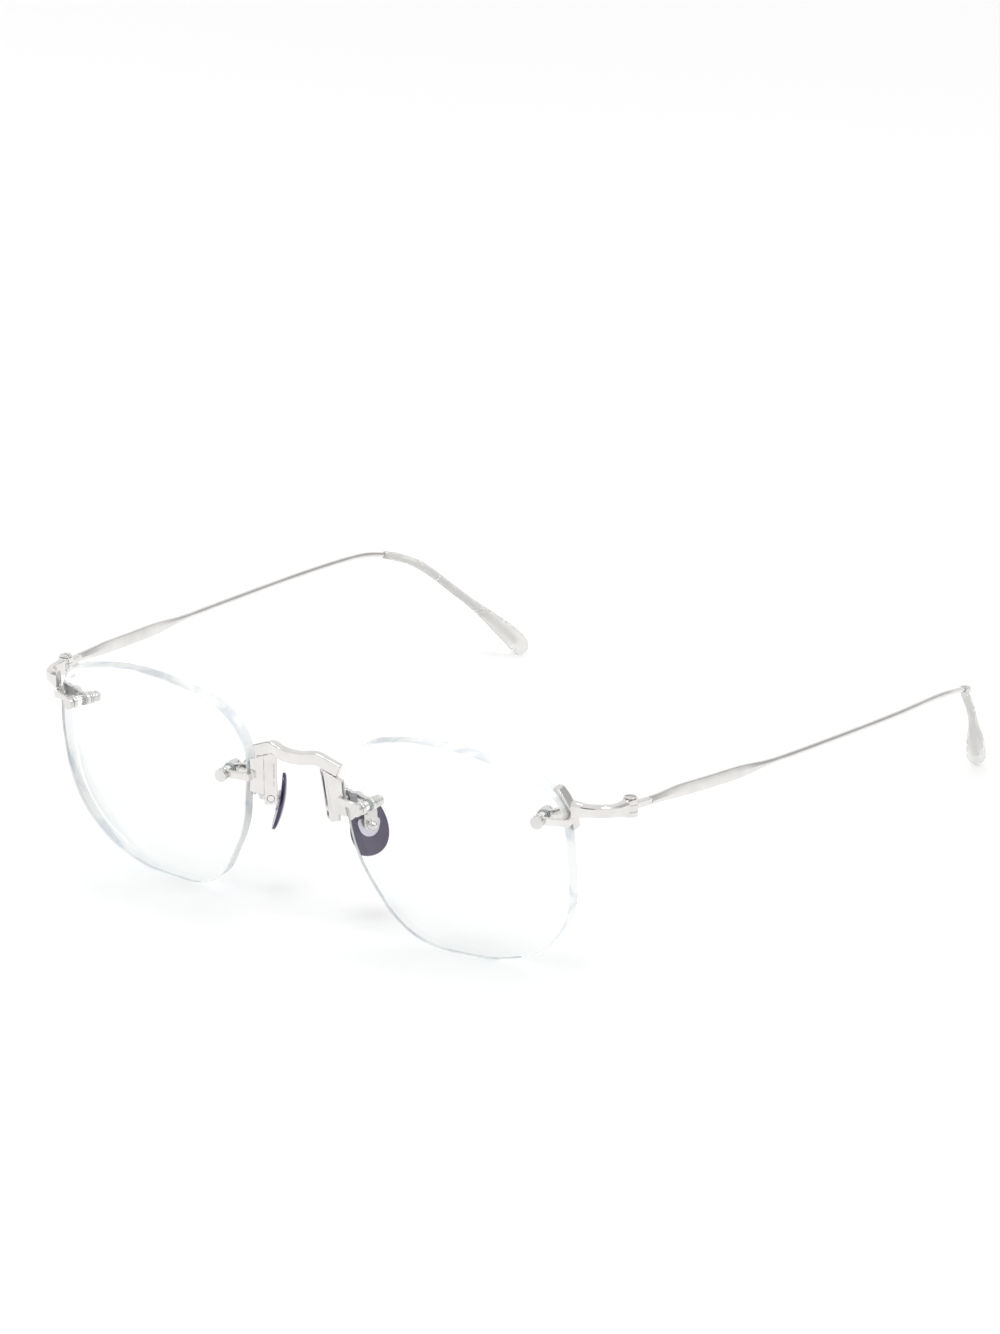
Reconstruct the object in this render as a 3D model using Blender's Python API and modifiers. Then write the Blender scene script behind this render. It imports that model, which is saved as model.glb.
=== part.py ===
"""Rimless spectacles, open and standing on their lenses and temple tips.

Metres, +Z up. The front faces -Y, the temples run back along +Y, and the wearer's left is +X.
Every paired piece is modelled on the wearer's left; its right twin shares the mesh, mirrored in X = 0.
A lens, a screw hole and a nose pad each have a working frame: X outward, Y up, Z square to the face.
"""

import math

import bmesh
import bpy
from mathutils import Matrix, Vector

MM = 0.001
GAP = 0.04 * MM  # left between pieces that touch
SLACK = 0.05 * MM  # radial play of a shaft in a hole
SEGMENTS = 16  # sides of a small round piece
THROUGH = 20 * MM  # how far a cutter reaches past what it cuts

# Whole frame
HINGE_X = 65.7 * MM
HINGE_Y = -59.7 * MM  # puts the middle of the spectacles, front to back, on Y = 0

# Lens: a meniscus cut to outline, both curves centred behind the lens and the edge thicker than the middle
LENS_CENTRE = Vector((35.3 * MM, HINGE_Y - 13.9 * MM, 20.65 * MM))
LENS_WRAP = math.radians(4.6)
LENS_TILT = math.radians(8.9)
LENS_CURVE = 96.5 * MM
LENS_BACK_CURVE = 75.4 * MM
LENS_THICK = 1.7 * MM  # at the optical centre, where it is thinnest
DECENTRE = 3.5 * MM  # from the outline's middle to the optical centre, on the nose side
BLANK_RADIUS = 34.0 * MM
BLANK_RINGS = 6
BLANK_STEPS = 36
FACE_GAP = 0.10 * MM  # between the lens's front, whose flats stand off the true curve, and the strap on it
REAR_GAP = 0.22 * MM  # the same behind the lens, where the face is not square to the screw
# Outline corners (outward, up, corner radius), in millimetres, anticlockwise from the front
LENS_CORNERS = (
    (23.0, 16.5, 9.0),
    (-2.0, 23.8, 46.0),
    (-25.5, 16.0, 11.8),
    (-22.0, -5.5, 22.0),
    (-12.5, -21.5, 14.0),
    (5.5, -21.0, 14.0),
    (23.0, -16.5, 18.0),
    (24.0, 4.0, 40.5),
)
SHARP_ANGLE = math.radians(35.0)  # edges sharper than this stay sharp under smooth shading
ARC_STEP = 2.8 * MM  # length of the straight pieces that a corner's arc is drawn with

# Screw holes through the lens, (outward, up) from its centre, and the hardware stacked on them
TEMPORAL_HOLE = (18.8 * MM, 11.0 * MM)
NASAL_HOLE = (-19.3 * MM, 5.7 * MM)
HOLE_RADIUS = 0.90 * MM
SHANK_RADIUS = 0.58 * MM
HEAD_RADIUS = 1.22 * MM
HEAD_HEIGHT = 0.95 * MM
HEAD_CHAMFER = 0.12 * MM
FLANGE_RADIUS = 1.20 * MM
FLANGE_THICK = 0.30 * MM
WASHER_RADIUS = 1.20 * MM
WASHER_THICK = 0.35 * MM
NUT_RADIUS = 1.15 * MM
NUT_LENGTH = 1.95 * MM
NUT_WALL = 0.55 * MM  # solid end over the shank

# Clamps that hold a lens at its edge: a shoe along the edge, and a strap on each face
SHOE_THICK = 0.80 * MM
TEMPORAL_SHOE = (0.20 * MM, 1.90 * MM)  # how far the shoe reaches to the front and back of the edge's middle
NASAL_SHOE = (0.40 * MM, 1.90 * MM)
TEMPORAL_PRONGS = (2.4 * MM, 5.4 * MM)  # how far the shoe reaches below and above the screw
NASAL_PRONGS = (4.6 * MM, 4.0 * MM)
BACK_THICK = 1.10 * MM
STRAP_THICK = 0.75 * MM
STRAP_HEIGHT = 1.50 * MM
EYE_RADIUS = 1.25 * MM
REAR_STRAP_HEIGHT = 3.00 * MM

# Hinge
BARREL_RADIUS = 1.42 * MM
BARREL_BOTTOM = 31.80 * MM
BARREL_TOP = 35.10 * MM
KNUCKLE_HEIGHT = 1.30 * MM
PIN_RADIUS = 0.60 * MM
PIN_HEAD_RADIUS = 1.10 * MM
PIN_HEAD_HEIGHT = 0.40 * MM
PIN_SLOT_WIDTH = 0.30 * MM
NECK_THICK = 1.30 * MM
# Middle of the endpiece's bar, from its root at the lens clamp to the hinge: millimetres from the hinge
# axis and, upwards, from the ground
ENDPIECE_PATH = (
    (-6.2, -9.5, 34.4),
    (-4.2, -8.9, 34.5),
    (-2.0, -7.2, 34.3),
    (-0.6, -4.6, 33.9),
    (-0.1, -2.0, 33.6),
    (0.0, -0.4, 33.45),
)
BAR_THICK = 1.50 * MM
BAR_HEIGHT = 2.20 * MM
BAR_ROOT_HEIGHT = 3.30 * MM

# Temple
# Middle line from the neck to the bulb, in millimetres from the hinge axis and the ground
TEMPLE_PATH = (
    (0.9, 5.0, 33.4),
    (1.4, 13.0, 32.9),
    (2.4, 25.0, 32.0),
    (3.8, 43.0, 30.9),
    (4.7, 62.0, 29.9),
    (5.2, 80.0, 29.0),
    (4.9, 95.0, 28.2),
    (4.6, 102.5, 27.2),
    (2.9, 108.7, 25.4),
    (-0.3, 113.3, 22.7),
    (-3.1, 120.2, 16.4),
    (-6.6, 127.3, 9.4),
    (-9.2, 132.2, 4.0),
    (-9.9, 133.6, 2.0),
)
TIP_START = 0.58  # share of the temple's length where the tip sleeve begins
SOCKET_LEAD = 0.045  # how far ahead of the tip its bore is started
WIRE_END = 0.94  # where the wire ends inside the tip's bulb
WIRE_RADIUS = 0.50 * MM
BLADE_HEIGHT = 2.40 * MM
BLADE_THICK = 1.30 * MM
BLADE_RISE = 12.0 * MM  # how far behind the neck the blade is at its full height
BLADE_FALL = 21.0 * MM  # where it starts to thin
BLADE_END = 40.0 * MM  # where it is round wire
SLEEVE_RADIUS = 0.85 * MM
BULB_RADIUS = 2.0 * MM
BULB_TAPER = 18.0 * MM

# Bridge and pad arms
BRIDGE_HEIGHT = 2.40 * MM
BRIDGE_DEPTH = 1.70 * MM
ARM_BOTTOM = 21.60 * MM
ARM_TOP = 33.20 * MM  # before the arm is cut to the bridge's underside
ARM_WIDTH = 2.00 * MM
ARM_DEPTH = 2.40 * MM
ARM_BEVEL = 0.3 * MM
ARM_LEAN = 0.14  # how far the arm leans to the front for each unit of height over the post
ARM_FACE = -8.40 * MM  # front of the arm, along the post from the middle of the pad
# Web between the arm and the nasal clamp: corners (back from the arm's front, out from its side), in
# millimetres
LUG_OUTLINE = ((0.30, 0.0), (1.80, 0.0), (3.95, 2.26), (2.74, 3.14))
LUG_BOTTOM = 23.4 * MM
LUG_TOP = 32.4 * MM
# The bridge's middle line from the middle plane outwards, from the hinge's foot, in millimetres.
BRIDGE_PATH = (
    (0.0, -14.75, 33.35),
    (2.4, -14.50, 33.45),
    (5.0, -13.75, 33.75),
    (7.5, -13.10, 32.80),
    (9.6, -12.60, 31.90),
)
BRIDGE_STEPS = 3
ABOVE_BRIDGE = 5.0 * MM  # how far the cutter over the bridge's underside reaches up and to each side

# Nose pads
PAD_CENTRE = Vector((10.3 * MM, HINGE_Y - 4.7 * MM, 19.25 * MM))
PAD_SPLAY = math.radians(36.0)  # turn of the pad's face from the middle plane
PAD_LEAN = math.radians(11.5)  # lean of the pad from upright
PAD_LENGTH = 11.2 * MM
PAD_WIDTH = 7.4 * MM
PAD_THICK = 1.10 * MM
PAD_BOW = 22.0 * MM  # radius that the pad is bowed to
PAD_NARROWING = 0.20
PAD_SINK = 0.2  # share of the pad's thickness that its middle lies in front of the frame's origin
STUD_UP = 0.60 * MM
STUD_RADIUS = 0.50 * MM
BALL_RADIUS = 0.95 * MM
BALL_CUT = 0.8  # share of its radius at which the ball is cut flat
BALL_CLEAR = 0.15 * MM
STUD_PLAY = 0.10 * MM
# Corners of the pad's plate (across, up) from the stud, in millimetres
PLATE_OUTLINE = (
    (1.9, 1.0), (2.1, 0.2), (1.6, -1.6), (0.6, -2.5), (-0.6, -2.5), (-1.6, -1.6), (-2.1, 0.2), (-1.9, 1.0),
)  # fmt: skip
PLATE_THICK = 0.40 * MM
TAB_BACK = 2.00 * MM  # from the pad's middle to the near face of the post's tab
TAB_THICK = 0.55 * MM
TAB_EYE_RADIUS = 1.20 * MM
POST_RADIUS = 0.65 * MM
POST_UP = 3.20 * MM


def material(name, colour, roughness, metallic, transmission=0.0):
    made = bpy.data.materials.new(name)
    made.use_nodes = True
    shader = made.node_tree.nodes["Principled BSDF"]
    shader.inputs["Base Color"].default_value = (*colour, 1.0)
    shader.inputs["Roughness"].default_value = roughness
    shader.inputs["Metallic"].default_value = metallic
    shader.inputs["Transmission Weight"].default_value = transmission
    return made


def make_materials():
    return {
        "lens": material("lens", (0.95, 0.98, 0.97), 0.03, 0.0, 1.0),
        "frame_metal": material("frame_metal", (0.78, 0.77, 0.76), 0.12, 1.0),
        "screw_metal": material("screw_metal", (0.72, 0.71, 0.69), 0.22, 1.0),
        "clear_tip": material("clear_tip", (0.93, 0.93, 0.91), 0.06, 0.0, 0.9),
        "pad_metal": material("pad_metal", (0.10, 0.09, 0.15), 0.18, 1.0),
        "plate_metal": material("plate_metal", (0.74, 0.72, 0.80), 0.30, 1.0),
        "bushing": material("bushing", (0.85, 0.87, 0.86), 0.25, 0.0),
    }


def clear_scene():
    for obj in list(bpy.data.objects):
        bpy.data.objects.remove(obj, do_unlink=True)


def place(name, data, matrix):
    """An object in the scene, holding this mesh or curve."""
    obj = bpy.data.objects.new(name, data)
    bpy.context.scene.collection.objects.link(obj)
    obj.matrix_world = matrix
    return obj


def mesh_from(bm, name):
    bmesh.ops.recalc_face_normals(bm, faces=bm.faces)
    mesh = bpy.data.meshes.new(name)
    bm.to_mesh(mesh)
    bm.free()
    return mesh


def bake(obj):
    """Replaces the object with the plain mesh that it evaluates to."""
    bpy.context.view_layer.update()
    name, matrix = obj.name, obj.matrix_world.copy()
    mesh = bpy.data.meshes.new_from_object(obj.evaluated_get(bpy.context.evaluated_depsgraph_get()))
    bpy.data.objects.remove(obj, do_unlink=True)
    bm = bmesh.new()
    bm.from_mesh(mesh)
    bmesh.ops.remove_doubles(bm, verts=bm.verts, dist=1e-7)
    bmesh.ops.recalc_face_normals(bm, faces=bm.faces)
    bm.to_mesh(mesh)
    bm.free()
    mesh.name = name
    return place(name, mesh, matrix)


def combine(target, tool, operation):
    """Bakes a Boolean of the target with the tool, and removes the tool."""
    tool.hide_render = True
    tool.display_type = "WIRE"
    modifier = target.modifiers.new(operation, "BOOLEAN")
    modifier.operation = operation
    modifier.solver = "EXACT"
    modifier.object = tool
    result = bake(target)
    bpy.data.objects.remove(tool, do_unlink=True)
    return result


def lathe(name, profile, matrix, closed=False, steps=SEGMENTS):
    """A piece turned about the frame's Z: the profile (radius, height) runs down the outer side."""
    mesh = bpy.data.meshes.new(name)
    edges = [(i, i + 1) for i in range(len(profile) - 1) if profile[i][0] + profile[i + 1][0] > 0]
    if closed:
        edges.append((len(profile) - 1, 0))
    mesh.from_pydata([(radius, 0.0, height) for radius, height in profile], edges, [])
    obj = place(name, mesh, matrix)
    screw = obj.modifiers.new("turn", "SCREW")
    screw.steps = steps
    screw.render_steps = steps
    screw.use_merge_vertices = True
    screw.merge_threshold = 1e-6
    return bake(obj)


def plate(name, outline, low, high, matrix):
    """A flat outline in the frame's XY, as thick as from low to high along its Z."""
    curve = bpy.data.curves.new(name, "CURVE")
    curve.dimensions = "2D"
    curve.fill_mode = "BOTH"
    curve.extrude = (high - low) / 2
    spline = curve.splines.new("POLY")
    spline.points.add(len(outline) - 1)
    for point, (x, y) in zip(spline.points, outline):
        point.co = (x, y, 0.0, 1.0)
    spline.use_cyclic_u = True
    return bake(place(name, curve, matrix @ Matrix.Translation((0.0, 0.0, (low + high) / 2))))


def block(name, low, high, matrix):
    """A box between two corners of the frame."""
    bm = bmesh.new()
    bmesh.ops.create_cube(bm, size=1.0)
    low, high = Vector(low), Vector(high)
    bmesh.ops.scale(bm, vec=high - low, verts=bm.verts)
    bmesh.ops.translate(bm, vec=(low + high) / 2, verts=bm.verts)
    return place(name, mesh_from(bm, name), matrix)


def cylinder(name, radius, low, high, matrix, segments=SEGMENTS):
    """A cylinder along the frame's Z, from low to high."""
    bm = bmesh.new()
    bmesh.ops.create_cone(
        bm, cap_ends=True, segments=segments, radius1=radius, radius2=radius, depth=high - low
    )
    bmesh.ops.translate(bm, vec=(0.0, 0.0, (low + high) / 2), verts=bm.verts)
    return place(name, mesh_from(bm, name), matrix)


def ball(name, radius, matrix):
    bm = bmesh.new()
    bmesh.ops.create_uvsphere(bm, u_segments=SEGMENTS, v_segments=8, radius=radius)
    return place(name, mesh_from(bm, name), matrix)


def smooth_path(keys, steps):
    """Points of a Catmull-Rom curve through the keys, with this many steps between neighbours."""
    keys = [Vector(key) for key in keys]
    ends = [2 * keys[0] - keys[1]] + keys + [2 * keys[-1] - keys[-2]]
    points = []
    for a, b, c, d in zip(ends, ends[1:], ends[2:], ends[3:]):
        for step in range(steps):
            t = step / steps
            points.append(
                0.5 * (2 * b + (c - a) * t + (2 * a - 5 * b + 4 * c - d) * t**2)
                + 0.5 * (3 * b - a - 3 * c + d) * t**3
            )
    return points + [keys[-1]]


def sweep(name, path, section):
    """A loft along the path. section(share of the way) gives the outline as (sideways, up) points."""
    bm = bmesh.new()
    rings = []
    for i, point in enumerate(path):
        along = (path[min(i + 1, len(path) - 1)] - path[max(i - 1, 0)]).normalized()
        side = along.cross(Vector((0.0, 0.0, 1.0))).normalized()
        up = side.cross(along)
        outline = section(i / (len(path) - 1))
        rings.append([bm.verts.new(point + side * u + up * v) for u, v in outline])
    for ring, following in zip(rings, rings[1:]):
        for j in range(len(ring)):
            k = (j + 1) % len(ring)
            bm.faces.new((ring[j], ring[k], following[k], following[j]))
    bm.faces.new(rings[0])
    bm.faces.new(rings[-1])
    return place(name, mesh_from(bm, name), Matrix())


def chamfered(width, height, share=0.28):
    """A rectangle with its corners cut off."""
    w, h = width / 2, height / 2
    cut = share * min(w, h) * 2
    return [
        (w, h - cut), (w - cut, h), (cut - w, h), (-w, h - cut),
        (-w, cut - h), (cut - w, -h), (w - cut, -h), (w, cut - h),
    ]  # fmt: skip


def oval(half_width, half_height, sides=10):
    turns = [2 * math.pi * i / sides for i in range(sides)]
    return [(half_width * math.cos(turn), half_height * math.sin(turn)) for turn in turns]


def mix(low, high, share):
    """Smooth change from low to high as share goes from 0 to 1."""
    share = min(max(share, 0.0), 1.0)
    return low + (high - low) * share * share * (3 - 2 * share)


def frame_of(origin, x, y, z):
    return Matrix.Translation(origin) @ Matrix((x, y, z)).transposed().to_4x4()


def lens_frame():
    x = Vector((math.cos(LENS_WRAP), math.sin(LENS_WRAP), 0.0))
    flat = math.cos(LENS_TILT)
    front = Vector((flat * math.sin(LENS_WRAP), -flat * math.cos(LENS_WRAP), -math.sin(LENS_TILT)))
    return frame_of(LENS_CENTRE, x, front.cross(x), front)


def hole_frame(hole):
    """Frame of a screw: on the lens's front face at the hole, Z along the face's normal."""
    out, up = hole
    depth = math.sqrt(LENS_CURVE**2 - out**2 - up**2)
    normal = Vector((out, up, depth)) / LENS_CURVE
    x = Vector((0.0, 1.0, 0.0)).cross(normal).normalized()
    return lens_frame() @ frame_of((out, up, depth - LENS_CURVE), x, normal.cross(x), normal)


def pad_frame():
    """X along the pad's width towards the back, Y up its length, Z out of its face on the lens side."""
    x = Vector((math.sin(PAD_SPLAY), math.cos(PAD_SPLAY), 0.0))
    flat = math.cos(PAD_LEAN)
    out = Vector((flat * math.cos(PAD_SPLAY), -flat * math.sin(PAD_SPLAY), math.sin(PAD_LEAN)))
    return frame_of(PAD_CENTRE, x, out.cross(x), out)


def arm_frame():
    """The pad frame's turn about the vertical, through the post's axis where it leaves the arm."""
    x = Vector((math.sin(PAD_SPLAY), math.cos(PAD_SPLAY), 0.0))
    z = Vector((math.cos(PAD_SPLAY), -math.sin(PAD_SPLAY), 0.0))
    root = pad_frame() @ Vector((0.0, POST_UP, TAB_BACK + TAB_THICK / 2))
    return frame_of(root, x, z.cross(x), z)


def lens_thickness(out, up):
    """The lens's thickness at this place on its outline's plane."""
    distance = math.hypot(out + DECENTRE, up)
    front = LENS_CURVE - math.sqrt(LENS_CURVE**2 - distance**2)
    back = LENS_BACK_CURVE - math.sqrt(LENS_BACK_CURVE**2 - distance**2)
    return LENS_THICK + back - front


def rounded_outline(grow=0.0):
    """The lens outline in its frame: straight sides and an arc at each corner, moved out by grow."""
    points = []
    count = len(LENS_CORNERS)
    for i, (x, y, radius) in enumerate(LENS_CORNERS):
        corner = Vector((x, y)) * MM
        before = (Vector(LENS_CORNERS[i - 1][:2]) * MM - corner).normalized()
        after = (Vector(LENS_CORNERS[(i + 1) % count][:2]) * MM - corner).normalized()
        half = before.angle(after) / 2
        centre = corner + (before + after).normalized() * radius * MM / math.sin(half)
        first = corner + before * radius * MM / math.tan(half) - centre
        last = corner + after * radius * MM / math.tan(half) - centre
        turn = first.angle_signed(last)
        steps = max(2, round(abs(turn) * first.length / ARC_STEP))
        for step in range(steps + 1):
            arm = first.copy()
            arm.rotate(Matrix.Rotation(-turn * step / steps, 2))
            points.append(centre + arm * (1 + grow / arm.length))
    return points


def edge_x(up, side, grow=0.0):
    """How far out the lens edge, moved out by grow, is at this height, on the side that side points to."""
    outline = rounded_outline(grow)
    for a, b in zip(outline, outline[1:] + outline[:1]):
        if (a.y - up) * (b.y - up) <= 0 and a.y != b.y and side * (a.x + b.x) > 0:
            return a.x + (b.x - a.x) * (up - a.y) / (b.y - a.y)
    raise ValueError("no edge at this height")


def lens():
    """A round meniscus blank, cut to outline and drilled twice."""
    turns = [math.asin(BLANK_RADIUS / LENS_CURVE) * i / BLANK_RINGS for i in range(BLANK_RINGS + 1)]
    front = [(LENS_CURVE * math.sin(t), LENS_CURVE * math.cos(t) - LENS_CURVE) for t in turns]
    turns = [math.asin(BLANK_RADIUS / LENS_BACK_CURVE) * i / BLANK_RINGS for i in range(BLANK_RINGS, -1, -1)]
    back = [(LENS_BACK_CURVE * math.sin(t), LENS_BACK_CURVE * (math.cos(t) - 1) - LENS_THICK) for t in turns]
    about = Matrix.Translation((0.0, 0.0, -LENS_CURVE))
    swing = Matrix.Rotation(-math.asin(DECENTRE / LENS_CURVE), 4, "Y")
    middle = lens_frame() @ about @ swing @ about.inverted()
    blank = lathe("left_lens", front + back, middle, steps=BLANK_STEPS)
    outline = plate("outline", rounded_outline(), -THROUGH, THROUGH, lens_frame())
    blank = combine(blank, outline, "INTERSECT")
    for hole in (TEMPORAL_HOLE, NASAL_HOLE):
        drill = cylinder("drill", HOLE_RADIUS, -THROUGH, THROUGH, hole_frame(hole))
        blank = combine(blank, drill, "DIFFERENCE")
    return blank


def stack(hole):
    """Heights along a screw, from the lens's front face: each piece's near and far face."""
    front_strap = (FACE_GAP, FACE_GAP + STRAP_THICK)
    head = (front_strap[1] + GAP, front_strap[1] + GAP + HEAD_HEIGHT)
    rear_face = -lens_thickness(*hole)
    flange = (rear_face - REAR_GAP - FLANGE_THICK, rear_face - REAR_GAP)
    rear_strap = (flange[0] - GAP - STRAP_THICK, flange[0] - GAP)
    washer = (rear_strap[0] - GAP - WASHER_THICK, rear_strap[0] - GAP)
    nut = (washer[0] - GAP - NUT_LENGTH, washer[0] - GAP)
    return {
        "front_strap": front_strap, "head": head, "flange": flange,
        "rear_strap": rear_strap, "washer": washer, "nut": nut,
    }  # fmt: skip


def lens_screw(place_name, hole):
    low, high = stack(hole)["head"]
    end = stack(hole)["nut"][0] + NUT_WALL + GAP
    profile = [
        (0.0, high),
        (HEAD_RADIUS - HEAD_CHAMFER, high),
        (HEAD_RADIUS, high - HEAD_CHAMFER),
        (HEAD_RADIUS, low),
        (SHANK_RADIUS, low),
        (SHANK_RADIUS, end),
        (0.0, end),
    ]
    return lathe(f"left_{place_name}_screw", profile, hole_frame(hole))


def lens_bushing(place_name, hole):
    low, high = stack(hole)["flange"]
    bore = SHANK_RADIUS + SLACK
    sleeve = HOLE_RADIUS - SLACK
    profile = [
        (bore, -GAP),
        (sleeve, -GAP),
        (sleeve, high),
        (FLANGE_RADIUS, high),
        (FLANGE_RADIUS, low),
        (bore, low),
    ]
    return lathe(f"left_{place_name}_bushing", profile, hole_frame(hole), closed=True)


def lens_washer(place_name, hole):
    low, high = stack(hole)["washer"]
    bore = SHANK_RADIUS + SLACK
    profile = [(bore, high), (WASHER_RADIUS, high), (WASHER_RADIUS, low), (bore, low)]
    return lathe(f"left_{place_name}_washer", profile, hole_frame(hole), closed=True)


def lens_nut(place_name, hole):
    """A domed cap nut with a collar, hollow over the end of the shank."""
    low, high = stack(hole)["nut"]
    bore = SHANK_RADIUS + SLACK
    waist = NUT_RADIUS * 0.84
    profile = [
        (bore, high),
        (NUT_RADIUS, high),
        (NUT_RADIUS, high - NUT_LENGTH * 0.26),
        (waist, high - NUT_LENGTH * 0.34),
        (waist, low + NUT_LENGTH * 0.24),
        (waist * 0.72, low + NUT_LENGTH * 0.06),
        (0.0, low),
    ]
    inside = [(0.0, low + NUT_WALL), (bore, low + NUT_WALL)]
    return lathe(f"left_{place_name}_nut", profile + inside + [(bore, high)], hole_frame(hole))


def edge_run(low_up, high_up, side, grow):
    """The lens edge, moved out by grow, between two heights."""
    turns = [point.y for point in rounded_outline(grow) if side * point.x > 0 and low_up < point.y < high_up]
    return [(edge_x(up, side, grow), up) for up in (low_up, *sorted(turns), high_up)]


def shoe_strip(name, low_up, high_up, side, depth):
    """The part of a clamp that follows the lens edge between two heights."""
    inner = edge_run(low_up, high_up, side, GAP)
    outer = edge_run(low_up, high_up, side, GAP + SHOE_THICK)
    middle = inner[len(inner) // 2]
    sag = LENS_CURVE - math.sqrt(LENS_CURVE**2 - Vector(middle).length_squared)
    centre = -sag - lens_thickness(*middle) / 2
    return plate(name, inner + outer[::-1], centre - depth[1], centre + depth[0], lens_frame())


def clamp(name, hole, side, prongs, depth):
    """A lens clamp: shoe along the edge, back joining both faces' levels, and a strap on each face."""
    made = shoe_strip(name, hole[1] - prongs[0], hole[1] + prongs[1], side, depth)
    frame = hole_frame(hole)
    levels = stack(hole)
    edge = edge_x(hole[1], side)
    reach = abs(edge - hole[0]) + SHOE_THICK
    into_lens = lens_frame().inverted() @ frame
    top = (into_lens @ Vector((side * reach, 0.0, levels["front_strap"][1]))).z
    bottom = (into_lens @ Vector((side * reach, 0.0, levels["rear_strap"][0]))).z
    near, far = sorted((edge + side * SHOE_THICK / 2, edge + side * (GAP + BACK_THICK)))
    half = STRAP_HEIGHT / 2
    back = block("back", (near, hole[1] - half, bottom), (far, hole[1] + half, top), lens_frame())
    made = combine(made, back, "UNION")
    for level, height in (("front_strap", STRAP_HEIGHT), ("rear_strap", REAR_STRAP_HEIGHT)):
        strap = plate("strap", strap_outline(side, reach, height), *levels[level], frame)
        made = combine(made, strap, "UNION")
    if side < 0:
        made = combine(made, arm_lug(), "UNION")
        made = combine(made, above_bridge(), "DIFFERENCE")
    drill = cylinder("drill", SHANK_RADIUS + SLACK, -THROUGH, THROUGH, frame)
    return combine(made, drill, "DIFFERENCE")


def arm_lug():
    """The web that joins the nasal clamp's shoe to the pad arm's side."""
    frame = arm_frame()
    x, up, out = (frame.to_3x3().col[i] for i in range(3))
    near = ARM_DEPTH / 2 + GAP
    outline = [(ARM_FACE + along * MM, near + across * MM) for along, across in LUG_OUTLINE]
    low, high = frame.translation.z - LUG_TOP, frame.translation.z - LUG_BOTTOM
    made = plate("lug", outline, low, high, frame_of(frame.translation, x, out, -up))
    made.data.transform(Matrix(((1, 0, ARM_LEAN, 0), (0, 1, 0, 0), (0, 0, 1, 0), (0, 0, 0, 1))))
    inside_shoe = rounded_outline(GAP + SHOE_THICK / 2)
    return combine(made, plate("edge", inside_shoe, -THROUGH, THROUGH, lens_frame()), "DIFFERENCE")


def strap_outline(side, reach, height):
    """A round eye about the screw, and a bar of this height out to the lens edge."""
    half = height / 2
    if half > EYE_RADIUS * 0.8:
        start = 0.55 * reach
    else:
        start = math.sqrt(EYE_RADIUS**2 - half**2)
    turn = math.asin(min(half / EYE_RADIUS, 0.8))
    count = SEGMENTS
    eye = [turn + (2 * math.pi - 2 * turn) * i / count for i in range(count + 1)]
    points = [(EYE_RADIUS * math.cos(t), EYE_RADIUS * math.sin(t)) for t in eye]
    points += [(start, -half), (reach, -half), (reach, half), (start, half)]
    if side < 0:
        points = [(-x, y) for x, y in reversed(points)]
    return points


def endpiece():
    """The bar from the temporal clamp to the hinge, with the hinge's top and bottom knuckles."""
    hinge = Vector((HINGE_X, HINGE_Y, 0.0))
    keys = [hinge + Vector(key) * MM for key in ENDPIECE_PATH]

    def section(share):
        root, end = 1 - share / 0.3, (share - 0.6) / 0.4
        height = mix(BAR_HEIGHT, BAR_ROOT_HEIGHT, root)
        height += mix(0.0, BARREL_TOP - BARREL_BOTTOM - BAR_HEIGHT, end)
        return chamfered(mix(BAR_THICK, BARREL_RADIUS * 1.3, end), height)

    made = sweep("left_endpiece", smooth_path(keys, 4), section)
    face = edge_x(TEMPORAL_HOLE[1], 1) + GAP + BACK_THICK + GAP
    root = block("root", (face - THROUGH, 0.0, -THROUGH), (face, THROUGH, THROUGH), lens_frame())
    made = combine(made, root, "DIFFERENCE")
    axis = Matrix.Translation(hinge)
    made = combine(made, cylinder("barrel", BARREL_RADIUS, BARREL_BOTTOM, BARREL_TOP, axis, 24), "UNION")
    low, high = knuckle_span()
    slot = cylinder("slot", BARREL_RADIUS + 3 * SLACK, low - GAP, high + GAP, axis, 24)
    made = combine(made, slot, "DIFFERENCE")
    bore = cylinder("bore", PIN_RADIUS + SLACK, BARREL_BOTTOM - MM, BARREL_TOP + MM, axis)
    return combine(made, bore, "DIFFERENCE")


def knuckle_span():
    middle = (BARREL_BOTTOM + BARREL_TOP) / 2
    return middle - KNUCKLE_HEIGHT / 2, middle + KNUCKLE_HEIGHT / 2


def hinge_screw():
    low = BARREL_TOP + GAP
    high = low + PIN_HEAD_HEIGHT
    profile = [
        (0.0, high),
        (PIN_HEAD_RADIUS - HEAD_CHAMFER, high),
        (PIN_HEAD_RADIUS, high - HEAD_CHAMFER),
        (PIN_HEAD_RADIUS, low),
        (PIN_RADIUS, low),
        (PIN_RADIUS, BARREL_BOTTOM),
        (0.0, BARREL_BOTTOM),
    ]
    axis = Matrix.Translation((HINGE_X, HINGE_Y, 0.0))
    made = lathe("left_hinge_screw", profile, axis)
    half = PIN_SLOT_WIDTH / 2
    slot = block("slot", (-2 * MM, -half, high - PIN_HEAD_HEIGHT / 2), (2 * MM, half, high + MM), axis)
    return combine(made, slot, "DIFFERENCE")


def temple_keys():
    hinge = Vector((HINGE_X, HINGE_Y, 0.0))
    return [hinge + Vector(key) * MM for key in TEMPLE_PATH]


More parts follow.
